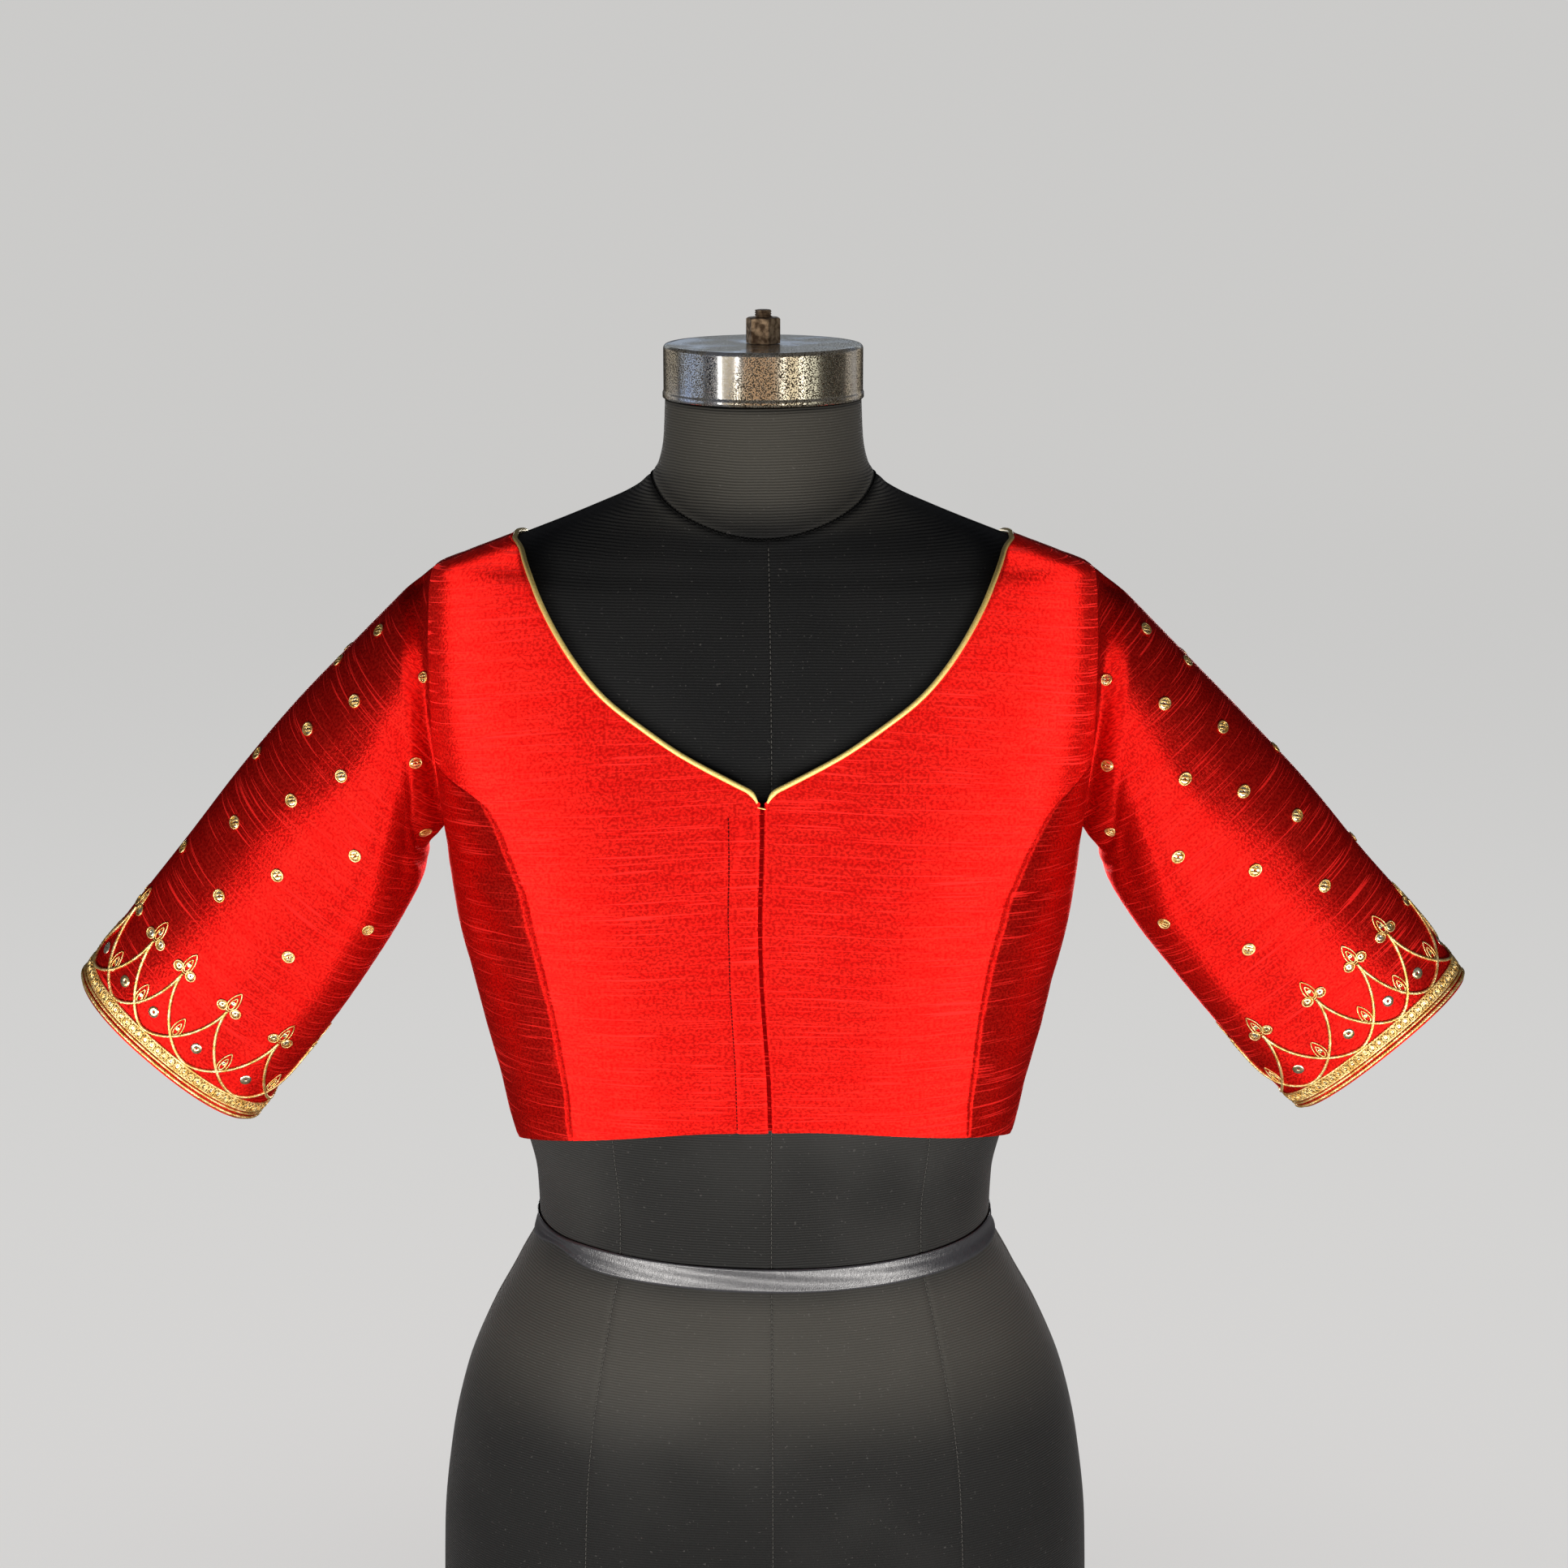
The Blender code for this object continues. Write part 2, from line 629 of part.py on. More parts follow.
def sleeve_turns():
    """Turns round the sleeve, at the same places as the rows of the panels it is sewn to."""
    lower, upper = front_turns()
    front = np.append(lower, upper[1:])[::-1]
    back = back_turns()[1:-1]
    return np.append(front, back)


def sleeve_head(turns):
    """Armhole points, and the direction in which the cloth runs on into the sleeve."""
    angle, height = armhole(turns)
    points = cloth_point(angle, height)
    step = 1e-3
    ahead = cloth_point(*armhole(turns + step)) - cloth_point(*armhole(turns - step))
    normal = form_normal(angle, height)
    return points, unit(np.cross(normal, unit(ahead)))


def fold_depth(along, turns):
    """Soft troughs and ridges of the sleeve, each a long bump lying across the sleeve."""
    depth = np.zeros(np.broadcast(along, turns).shape)
    for place_along, turn, length, spread, slope, height in SLEEVE_FOLDS:
        x = (along - place_along) / length
        y = (np.degrees(turns) - turn) / spread
        tilt = math.radians(slope)
        run = x * math.cos(tilt) + y * math.sin(tilt) * 0.5
        cross = -x * math.sin(tilt) + y * math.cos(tilt)
        depth += height * MM * np.exp(-run ** 2 - cross ** 2)
    return depth


def sleeve_surface(side, rings, turns):
    """The sleeve's middle surface.

    Beyond TABLE_STARTS the rings come straight from the section table.  Before it each line
    leaves the armhole in the panel's own direction and curves over on to the sleeve: a long soft
    curve at the shoulder, a tight turn at the armpit.
    """
    first = TABLE_STARTS
    begin, direction = sleeve_head(turns)
    begin = begin + direction * SEAM_GAP
    join = sleeve_ring(side, first, turns)
    later = sleeve_ring(side, first + 0.03, turns)
    leave = unit(later - join)
    open_share = 0.5 + 0.5 * np.cos(turns)
    reach = (ARMPIT_REACH + (SLEEVE_HEAD_REACH - ARMPIT_REACH) * open_share)[:, None]
    span = np.linalg.norm(join - begin, axis=1)[:, None]
    rows = []
    for along in rings:
        if along < first:
            t = along / first
            row = ((2 * t ** 3 - 3 * t ** 2 + 1) * begin + (t ** 3 - 2 * t ** 2 + t) * direction * reach * 2
                   + (3 * t ** 2 - 2 * t ** 3) * join + (t ** 3 - t ** 2) * leave * span)
        else:
            row = sleeve_ring(side, along, turns)
        rows.append(row)
    surface = np.array(rows)
    normals = surface_normals(surface)
    along = np.array(rings)[:, None]
    return surface + normals * fold_depth(along, turns[None, :])[..., None]


def surface_normals(surface):
    """Outward normals of a surface that is closed round its columns."""
    around = np.roll(surface, -1, 1) - np.roll(surface, 1, 1)
    down = np.gradient(surface, axis=0)
    normals = unit(np.cross(around, down))
    centre = surface.mean(1, keepdims=True)
    if np.sum((surface - centre)[-1] * normals[-1]) < 0:
        normals = -normals
    return normals


def sleeve(side, finish):
    name = "sleeve_left" if side > 0 else "sleeve_right"
    points = sleeve_surface(side, SLEEVE_RINGS, sleeve_turns())
    return sheet(name, mirrored(points, side), finish, round_it=True)


def sleeve_band(side, finish):
    """The thick embroidered border, worked on the cuff and standing proud of it."""
    name = "sleeve_band_left" if side > 0 else "sleeve_band_right"
    turns = sleeve_turns()
    measured = sleeve_surface(side, [MEASURED_FROM, 1.0], turns)
    length = np.linalg.norm(measured[1] - measured[0], axis=1).mean() / (1.0 - MEASURED_FROM)
    low = 1.0 - BAND_FROM_HEM / length
    high = low - BAND_HEIGHT / length
    rings = [high - 0.05, high, 0.5 * (high + low), low, 1.0]
    surface = sleeve_surface(side, rings, turns)
    lift = 0.5 * WALL + SEAM_GAP + 0.5 * BAND_THICKNESS
    lifted = surface + surface_normals(surface) * lift
    return sheet(name, mirrored(lifted[1:4], side), finish, BAND_THICKNESS, round_it=True)


def placket(finish):
    """The straight strip behind the front edges that closes the gap between them."""
    rows = SIDE_ROWS + LOWER_ARM_ROWS
    low = hem_height(-0.5 * math.pi, 1) + PLACKET_HEM_RISE
    height = np.linspace(low, NECK_POINT - PLACKET_DROP, rows + 1)[:, None]
    across = np.linspace(PLACKET_START, PLACKET_START + PLACKET_WIDTH, 5)[None, :]
    angle = closure_angle(1, height, across)
    lift = -(PLACKET_ROOM + 0.5 * PLACKET_THICKNESS)
    points = cloth_point(angle, height + 0 * angle, lift)
    return sheet("under_placket", points, finish, PLACKET_THICKNESS)


def piping(finish):
    """The piping cord round the neckline, open at the front point."""
    lift = 0.5 * WALL + PIPING_LIFT
    half = np.concatenate([cloth_point(*front_neckline(PIPING_POINTS_FRONT), lift),
                           cloth_point(*back_neckline(PIPING_POINTS_BACK), lift)[::-1][1:]])
    line = np.concatenate([half[:-1], mirrored(half, -1)[::-1]])
    curve = bpy.data.curves.new("neck_piping", "CURVE")
    curve.dimensions = "3D"
    curve.bevel_depth = PIPING_RADIUS
    curve.bevel_resolution = 1
    curve.use_fill_caps = True
    spline = curve.splines.new("POLY")
    spline.points.add(len(line) - 1)
    for point, place_at in zip(spline.points, line):
        point.co = (*place_at, 1.0)
    made = bpy.data.objects.new("neck_piping", curve)
    curve.materials.append(finish)
    COLLECTION.objects.link(made)
    return made


def form_torso(finish):
    """The dress form: one smooth body from its flat bottom to the top of its neck."""
    tape = [TAPE_BOTTOM, TAPE_BOTTOM + TAPE_WIDTH]
    extra = np.array(FORM_EXTRA_ROWS) * MM
    table = column(FORM_SECTIONS, FORM_COLUMNS, "height") * MM
    heights = np.unique(np.concatenate([table, tape, extra]))
    angles = np.linspace(-math.pi, math.pi, FORM_AROUND, endpoint=False)
    points = form_solid_point(*np.meshgrid(angles, heights))
    return place("form_torso", grid_mesh("form_torso", points, round_it=True, caps=True), finish)


def turned(name, profile, finish, segments=48):
    """A turned solid: a profile of (radius, height) run down its outer side, from axis to axis."""
    mesh = bpy.data.meshes.new(name)
    points = [(radius, 0.0, height) for radius, height in profile]
    edges = [(at, at + 1) for at in range(len(points) - 1)]
    mesh.from_pydata(points, edges, [])
    mesh.materials.append(finish)
    made = bpy.data.objects.new(name, mesh)
    made.location = (0.0, NECK_CENTRE_Y, 0.0)
    COLLECTION.objects.link(made)
    spin = made.modifiers.new("Turn", "SCREW")
    spin.steps = segments
    spin.render_steps = segments
    spin.use_merge_vertices = True
    spin.merge_threshold = 0.00001
    return made


def neck_cap(finish):
    """Plated cap of the neck: a flat disc top, a straight wall and a slightly proud lip."""
    corner = [(CAP_RADIUS - CAP_CORNER * (1 - math.sin(turn)),
               CAP_TOP - CAP_CORNER * (1 - math.cos(turn)))
              for turn in np.linspace(0, 0.5 * math.pi, 5)]
    profile = [(0.0, CAP_TOP)] + corner + [
        (CAP_RADIUS, CAP_BOTTOM + CAP_LIP_HEIGHT),
        (CAP_RADIUS + CAP_LIP, CAP_BOTTOM + CAP_LIP_HEIGHT - CAP_LIP),
        (CAP_RADIUS + CAP_LIP, CAP_BOTTOM),
        (0.0, CAP_BOTTOM),
    ]
    return turned("form_neck_cap", profile, finish)


def cap_nut(finish):
    """Hexagon nut on the cap, one flat turned to the front."""
    low = CAP_TOP + TOUCH_GAP
    bpy.ops.mesh.primitive_cylinder_add(
        vertices=6, radius=0.5 * NUT_CORNERS, depth=NUT_HEIGHT,
        location=(0.0, NECK_CENTRE_Y, low + 0.5 * NUT_HEIGHT), rotation=(0, 0, math.radians(12)))
    return adopt("form_cap_nut", finish, 0.6 * MM)


def rod_end(finish):
    """End of the threaded rod above the nut."""
    low = CAP_TOP + 2 * TOUCH_GAP + NUT_HEIGHT
    bpy.ops.mesh.primitive_cylinder_add(
        vertices=20, radius=0.5 * ROD_DIAMETER, depth=ROD_ABOVE_NUT,
        location=(0.0, NECK_CENTRE_Y, low + 0.5 * ROD_ABOVE_NUT))
    return adopt("form_rod_end", finish, 0.4 * MM)


def adopt(name, finish, bevel):
    """Names a primitive, moves it to the collection and softens its edges."""
    made = bpy.context.object
    made.name = name
    made.data.name = name
    for owner in list(made.users_collection):
        owner.objects.unlink(made)
    COLLECTION.objects.link(made)
    made.data.materials.append(finish)
    edge = made.modifiers.new("Edge", "BEVEL")
    edge.width = bevel
    edge.segments = 1
    edge.limit_method = "ANGLE"
    return made


def waist_tape(finish):
    """Ribbon round the waist of the form."""
    angles = np.linspace(-math.pi, math.pi, FORM_AROUND, endpoint=False)
    heights = TAPE_BOTTOM + np.linspace(0, TAPE_WIDTH, 2)
    grid_angle, grid_height = np.meshgrid(angles, heights)
    lift = TOUCH_GAP + 0.5 * TAPE_THICKNESS
    points = form_point(grid_angle, grid_height) + form_normal(grid_angle, grid_height) * lift
    return sheet("form_waist_tape", points, finish, TAPE_THICKNESS, round_it=True)


clear_scene()
COLLECTION = bpy.data.collections.new("choli_blouse_on_dress_form")
bpy.context.scene.collection.children.link(COLLECTION)

for wearer_side in (1, -1):
    word = "left" if wearer_side > 0 else "right"
    silk = material("silk_" + word, SILK_RED, 0.5)
    front_centre(wearer_side, silk)
    front_side(wearer_side, silk)
    sleeve(wearer_side, silk)
    sleeve_band(wearer_side, material("zari_" + word, (0.72, 0.50, 0.18), 0.35, 0.8))
back_panel(material("silk_back", SILK_RED, 0.5))
placket(material("silk_placket", SILK_RED, 0.55))
piping(material("gold_piping", (0.78, 0.66, 0.36), 0.4, 0.5))
form_torso(material("form_jersey", (0.02, 0.021, 0.023), 0.85))
neck_cap(material("plated_steel", (0.75, 0.76, 0.78), 0.12, 1.0))
cap_nut(material("old_brass", (0.30, 0.22, 0.14), 0.45, 0.9))
rod_end(material("rod_brass", (0.35, 0.24, 0.12), 0.5, 0.9))
waist_tape(material("satin_tape", (0.05, 0.05, 0.055), 0.3))
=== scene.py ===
"""Looks of a choli blouse in red slubbed silk, worn by a limbless dress form.

Every cloth piece is a fine grid over the same form and tables as the part's own source, given a
cloth wall, rolled seam edges and soft creases.  The sleeves' embroidery is laid out flat, as
distances round the sleeve and up from its hem, and carried on to the cloth.
Metres, +Z up, the front faces -Y.
"""
import math

import bmesh
import bpy
import numpy as np
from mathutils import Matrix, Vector


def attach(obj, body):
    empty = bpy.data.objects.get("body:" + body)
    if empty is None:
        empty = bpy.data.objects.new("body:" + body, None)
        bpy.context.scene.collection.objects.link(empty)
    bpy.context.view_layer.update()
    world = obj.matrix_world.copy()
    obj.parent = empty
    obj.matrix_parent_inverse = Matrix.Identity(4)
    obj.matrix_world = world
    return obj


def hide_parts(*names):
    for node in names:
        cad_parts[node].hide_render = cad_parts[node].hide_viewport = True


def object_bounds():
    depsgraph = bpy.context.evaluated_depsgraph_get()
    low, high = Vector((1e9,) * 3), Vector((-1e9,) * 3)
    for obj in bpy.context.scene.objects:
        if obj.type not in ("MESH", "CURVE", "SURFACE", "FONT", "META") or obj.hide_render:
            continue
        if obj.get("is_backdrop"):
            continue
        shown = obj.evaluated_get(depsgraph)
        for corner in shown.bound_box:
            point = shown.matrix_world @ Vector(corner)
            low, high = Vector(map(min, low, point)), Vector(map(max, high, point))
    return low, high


MM = 0.001
SIDE_NAME = {1: "left", -1: "right"}        # of the wearer

# Cloth and seams, as in the part's source
WALL = 1.2 * MM
CLOTH = 1.0 * MM            # the wall shown here, inside the part's own
SEAM_GAP = 0.3 * MM
TRIM = 0.6 * SEAM_GAP
REST_GAP = 0.8 * MM
SIDE_EASE = 4.0 * MM
HEM_EASE = 1.6 * MM
BRIDGE_EASE = 2.6 * MM
BRIDGE_WIDTH = 26 * MM
EASE_STARTS = 530 * MM
EASE_FULL = 400 * MM
PIPING_RADIUS = 1.15 * MM
PIPING_LIFT = 0.3 * MM
PIPING_ROOM = 0.35 * MM
PLACKET_DROP = 5.0 * MM
PLACKET_ROOM = 0.45 * MM
PLACKET_WIDTH = 18.0 * MM
PLACKET_START = -7.0 * MM
PLACKET_HEM_RISE = 1.0 * MM
PLACKET_THICKNESS = 1.0 * MM
CLOSURE_GAP = 2.2 * MM
HEM_SIDE = 328.5 * MM
HEM_FRONT = 366.0 * MM
HEM_BACK = 338.0 * MM
HEM_TILT = 1.0 * MM
ARMPIT = 508.0 * MM
SHOULDER_TIP = 649.0 * MM
SHOULDER_NECK = 667.2 * MM
NECK_POINT = 549.0 * MM
BACK_NECK_POINT = 606.0 * MM
NECK_ROLL = 3.0 * MM
FINE_POINTS = 1200
SEAM_TOP_TURN = 0.62
ARMHOLE_HALF_ANGLE = 13.5
SHOULDER_CROWDING = 1.35
SEAM_CROWDING = 1.15

# Rows and columns of the fine panels
SIDE_ROWS = 60
LOWER_ARM_ROWS = 30
UPPER_ARM_ROWS = 72
CENTRE_COLUMNS = 60
SIDE_COLUMNS = 26
BACK_COLUMNS = 66
SLEEVE_COLUMNS_AROUND = 200
SLEEVE_ROWS = 120
NECK_ROW = SIDE_ROWS + LOWER_ARM_ROWS       # where the front edge or centre back ends

# Horizontal sections of the dress form, in millimetres
FORM_COLUMNS = ("height", "half_width", "front", "back", "squareness")
FORM_SECTIONS = [
    (0, 180, 107, 116, 2.15),
    (6, 184, 110, 119, 2.15),
    (50, 185, 111, 123, 2.15),
    (95, 184, 111, 125, 2.15),
    (150, 178, 110, 125, 2.15),
    (190, 169, 107, 119, 2.15),
    (225, 155, 103, 109, 2.1),
    (255, 139, 99, 97, 2.1),
    (285, 126, 95, 88, 2.1),
    (310, 127, 94, 84, 2.1),
    (345, 135, 95, 82, 2.15),
    (385, 144, 98, 84, 2.2),
    (425, 153.5, 103, 88, 2.3),
    (465, 163.5, 108, 92, 2.5),
    (500, 169, 110, 95, 2.7),
    (540, 174, 107, 97, 3.0),
    (580, 178, 99, 98, 3.2),
    (615, 179, 90, 96, 3.0),
    (635, 178.5, 83, 92, 2.6),
    (648, 176, 78, 87, 2.25),
    (655, 161, 74.5, 83, 2.1),
    (662, 143, 70.5, 79, 2.05),
    (669, 125, 66.5, 75, 2.0),
    (676, 107, 62.5, 71, 2.0),
    (683, 90, 59, 67, 2.0),
    (690, 74, 56, 63, 2.0),
    (697, 63, 54, 60, 2.0),
    (706, 56, 52, 58, 2.0),
    (720, 53, 51, 57, 2.0),
    (740.4, 52, 51, 57, 2.0),
]
CUP = {"across": 80 * MM, "height": 484 * MM, "wide": 44 * MM, "tall": 50 * MM, "rise": 12 * MM}
CUP_FADE = 12 * MM
COVERED_DRAW_IN = 1.3 * MM
COVERED_LOW = (345 * MM, 400 * MM)
COVERED_HIGH = (656 * MM, 666 * MM)

NECKLINE_COLUMNS = ("height", "across")
FRONT_NECKLINE = [
    (549, 1.0),
    (556, 15.5),
    (561, 25.5),
    (570, 42.5),
    (580, 57.5),
    (598, 82),
    (617, 98.5),
    (635, 110.5),
    (652, 120),
    (660, 124.6),
    (665, 127.2),
    (667.2, 128.6),
]

CLOSURE_COLUMNS = ("height", "across")
CLOSURE_LINE = [
    (360, 3.8),
    (395, 2.9),
    (425, 1.1),
    (455, -0.7),
    (485, -1.4),
    (520, -0.4),
    (552, 0.0),
]

PRINCESS_COLUMNS = ("height", "wearers_left", "wearers_right")
PRINCESS_SEAM = [
    (345, 106.5, 99.0),
    (400, 109.7, 104.0),
    (455, 116.6, 113.5),
    (490, 126.6, 122.0),
    (514, 137, 130.5),
    (538, 153, 143),
]

# Sleeve sections seen from the front, in millimetres
SLEEVE_COLUMNS = ("along", "upper_x", "upper_z", "lower_x", "lower_z", "half_depth")
LEFT_SLEEVE = [
    (0.10, 197, 633, 182, 496, 47),
    (0.25, 229, 600.5, 189, 478, 49),
    (0.40, 262, 567, 205, 452.5, 47),
    (0.55, 296, 531, 226, 426, 43),
    (0.70, 328, 493, 252, 395, 38),
    (0.85, 360, 457, 277, 367, 33),
    (1.00, 389, 419, 302, 343, 27),
]
RIGHT_SLEEVE = [
    (0.10, 194, 635.5, 182.5, 498, 47),
    (0.25, 222, 607.5, 187, 480, 49),
    (0.40, 252, 577, 199, 456.5, 47),
    (0.55, 284, 540, 217, 428, 44),
    (0.70, 315, 500.5, 238, 398, 40),
    (0.85, 346, 462, 261, 370, 35),
    (1.00, 375, 424.5, 284, 341.5, 29),
]
SLEEVE_SQUARENESS = 2.25
CUFF_LEAN = {1: -1.0 * MM, -1: 6.0 * MM}
CUFF_REACH = {1: -3.6 * MM, -1: 1.0 * MM}
TABLE_STARTS = 0.10
SLEEVE_HEAD_REACH = 22.0 * MM
ARMPIT_REACH = 5.0 * MM
# Folds: place along, turn in degrees, length, spread in degrees, slope in degrees, depth in mm
SLEEVE_FOLDS = [
    (0.20, 128, 0.13, 13, 60, -4.5),
    (0.34, 112, 0.16, 12, 45, 2.5),
    (0.50, 100, 0.10, 16, -30, -2.0),
    (0.24, 232, 0.13, 13, -60, -4.0),
    (0.45, 252, 0.12, 16, -40, -2.0),
]

# Neck cap, nut and rod end
NECK_CENTRE_Y = 3.0 * MM
CAP_BOTTOM = 740.7 * MM
CAP_TOP = 768.7 * MM
CAP_RADIUS = 52.9 * MM
CAP_LIP = 0.5 * MM
CAP_LIP_HEIGHT = 3.5 * MM
CAP_CORNER = 2.2 * MM
NUT_CORNERS = 18.5 * MM
NUT_HEIGHT = 13.5 * MM
NUT_TURNED = 12             # degrees
NUT_AROUND = 120
ROD_DIAMETER = 9.0 * MM
ROD_ABOVE_NUT = 3.7 * MM
TOUCH_GAP = 0.3 * MM

# Waist ribbon
TAPE_BOTTOM = 274.0 * MM
TAPE_WIDTH = 13.0 * MM
TAPE_THICKNESS = 0.8 * MM

# Embroidery, as distances on the flat sleeve
HEM_TO_FIRST_CORD = 2.4 * MM
HEM_TO_SECOND_CORD = 5.0 * MM
BAND_LOW = 6.0 * MM
BAND_HIGH = 13.0 * MM
ARC_LOW = 14.2 * MM
ARC_HIGH = 55.0 * MM
ARC_POWER = 1.75
BASE_NODE = 21.4 * MM
CELL_SEQUIN = 25.6 * MM
CORD_RADIUS = 0.95 * MM
THREAD_RADIUS = 0.42 * MM
SEQUIN_RADIUS = 3.1 * MM


def smooth_table(places, values, at):
    """Monotone cubic through a table: no value between two rows overshoots either of them."""
    places = np.asarray(places, float)
    values = np.asarray(values, float)
    at = np.asarray(at, float)
    step = np.diff(places)
    rise = np.diff(values) / step
    slope = np.zeros_like(values)
    same = rise[:-1] * rise[1:] > 0
    before = 2 * step[1:] + step[:-1]
    after = step[1:] + 2 * step[:-1]
    safe_low = np.where(same, rise[:-1], 1.0)
    safe_high = np.where(same, rise[1:], 1.0)
    slope[1:-1] = np.where(same, (before + after) / (before / safe_low + after / safe_high), 0.0)
    slope[0] = rise[0]
    slope[-1] = rise[-1]
    row = np.clip(np.searchsorted(places, at) - 1, 0, len(places) - 2)
    share = np.clip((at - places[row]) / step[row], 0, 1)
    left = 1 - share
    return ((1 + 2 * share) * left ** 2 * values[row]
            + share * left ** 2 * step[row] * slope[row]
            + share ** 2 * (3 - 2 * share) * values[row + 1]
            - share ** 2 * left * step[row] * slope[row + 1])


def column(table, names, name):
    """One named column of a table of rows."""
    return np.array([row[names.index(name)] for row in table], float)


def from_table(table, names, name, at):
    """A table's named measure at heights, both in millimetres in the table."""
    heights = column(table, names, "height") * MM
    return smooth_table(heights, column(table, names, name) * MM, at)


def full_turn(count):
    """Angles evenly round a full turn."""
    return np.linspace(0, 2 * math.pi, count, endpoint=False)


def unit(vectors):
    """Each vector over its own length."""
    return vectors / np.maximum(np.linalg.norm(vectors, axis=-1, keepdims=True), 1e-12)


def smooth_step(start, end, value):
    """0 at start, 1 at end, and 3t^2 - 2t^3 between them."""
    share = np.clip((value - start) / (end - start), 0, 1)
    return share * share * (3 - 2 * share)


def form_size(name, height):
    """A size of the form's horizontal section at a height, in metres, or its squareness."""
    if name != "squareness":
        return from_table(FORM_SECTIONS, FORM_COLUMNS, name, height)
    heights = column(FORM_SECTIONS, FORM_COLUMNS, "height") * MM
    return smooth_table(heights, column(FORM_SECTIONS, FORM_COLUMNS, name), height)


def form_point(angle, height):
    """The form's surface: superellipse sections with a depth in front and one behind, and two
    soft round cups added to the front as exp(-(across^2 + up^2) / 2)."""
    angle = np.asarray(angle, float)
    height = np.asarray(height, float) + 0 * angle
    cosine = np.cos(angle)
    sine = np.sin(angle)
    power = form_size("squareness", height)
    depth = np.where(sine < 0, form_size("front", height), form_size("back", height))
    across = np.abs(cosine / form_size("half_width", height)) ** power
    reach = (across + np.abs(sine / depth) ** power) ** (-1 / power)
    x = reach * cosine
    y = reach * sine
    up = ((height - CUP["height"]) / CUP["tall"]) ** 2
    cups = sum(np.exp(-(((x - side * CUP["across"]) / CUP["wide"]) ** 2 + up) / 2)
               for side in (-1, 1))
    front = 1 / (1 + np.exp(y / CUP_FADE))
    return np.stack([x, y - CUP["rise"] * front * cups, height], -1)


def form_normal(angle, height):
    """Outward normal of the form: the cross product of two small steps along its surface."""
    turn = 1e-3
    rise = 0.3 * MM
    round_it = form_point(angle + turn, height) - form_point(angle - turn, height)
    up_it = form_point(angle, height + rise) - form_point(angle, height - rise)
    return unit(np.cross(round_it, up_it))


def form_solid_point(angle, height):
    """The form's own surface, drawn in a little where the blouse covers it."""
    covered = smooth_step(*COVERED_LOW, height) * (1 - smooth_step(*COVERED_HIGH, height))
    return form_point(angle, height) - form_normal(angle, height) * (
        COVERED_DRAW_IN * covered)[..., None]


def ease(angle, height):
    """Room between the form and the cloth: a rest gap, more at the sides and below the bust, and
    a bell across the hollow between the cups."""
    point = form_point(angle, height)
    low = smooth_step(EASE_STARTS, EASE_FULL, point[..., 2])
    side = np.cos(angle) ** 2
    bridge = np.exp(-(point[..., 0] / BRIDGE_WIDTH) ** 2) * (point[..., 1] < 0)
    return (REST_GAP + SIDE_EASE * side * low + HEM_EASE * (1 - side) * low
            + BRIDGE_EASE * bridge)


def cloth_point(angle, height, lift=0.5 * WALL):
    """A point of the blouse: the form's point moved out along its normal by ease and lift."""
    return form_point(angle, height) + form_normal(angle, height) * (
        ease(angle, height) + lift)[..., None]


def angle_at(across, height, behind=False):
    """Angle at which the form's section reaches a distance from the middle."""
    power = form_size("squareness", height)
    depth = form_size("back" if behind else "front", height)
    share = np.clip(across / form_size("half_width", height), 0, 1)
    y = depth * (1 - share ** power) ** (1 / power)
    angle = np.arctan2(y, across)
    return angle if behind else -angle


def hem_height(angle, side):
    """Hem height: from the side's height towards the middle's with |sin|^0.8 of the angle."""
    rise = np.abs(np.sin(angle)) ** 0.8
    top = np.where(np.asarray(angle) < 0, HEM_FRONT, HEM_BACK)
    return HEM_SIDE + (top - HEM_SIDE) * rise + side * HEM_TILT * np.cos(angle)


def armhole(turn):
    """The armhole as angles and heights; turn 0 is the shoulder tip and pi the armpit."""
    middle = 0.5 * (SHOULDER_TIP + ARMPIT)
    half = 0.5 * (SHOULDER_TIP - ARMPIT)
    angle = -math.radians(ARMHOLE_HALF_ANGLE) * np.sin(turn)
    return angle, middle + half * np.cos(turn)


def front_turns():
    """Turns of the armhole's front half, from armpit to shoulder tip."""
    meet = math.pi * SEAM_TOP_TURN
    return (np.linspace(math.pi, meet, LOWER_ARM_ROWS + 1),
            np.linspace(meet, 0.0, UPPER_ARM_ROWS + 1))


def evenly(angle, height, count, crowding=1.0):
    """A line on the form drawn again with points at length * (1 - (1 - t)^crowding)."""
    walked = lengths(form_point(angle, height), 0)
    even = walked[-1] * (1 - (1 - np.linspace(0, 1, count)) ** crowding)
    return np.interp(even, walked, angle), np.interp(even, walked, height)


def princess_seam(side):
    """The princess seam from hem to armhole, as angles and heights."""
    heights = column(PRINCESS_SEAM, PRINCESS_COLUMNS, "height") * MM
    across = column(PRINCESS_SEAM, PRINCESS_COLUMNS, "wearers_" + SIDE_NAME[side]) * MM
    end_angle, end_height = armhole(np.array([math.pi * SEAM_TOP_TURN]))
    heights = np.append(heights, end_height[0])
    across = np.append(across, form_point(end_angle, end_height)[0, 0])
    low = hem_height(angle_at(across[0], heights[0]), side)
    height = np.linspace(low, end_height[0], FINE_POINTS)
    angle = angle_at(smooth_table(heights, across, height), height)
    angle[-1] = end_angle[0]
    return evenly(angle, height, NECK_ROW + 1, SEAM_CROWDING)


def closure_angle(side, height, offset=0.5 * CLOSURE_GAP):
    """The angle of a line beside the closure, which wanders a little from the middle."""
    wander = from_table(CLOSURE_LINE, CLOSURE_COLUMNS, "across", height)
    return -0.5 * math.pi + np.arcsin((offset + side * wander) / form_size("front", height))


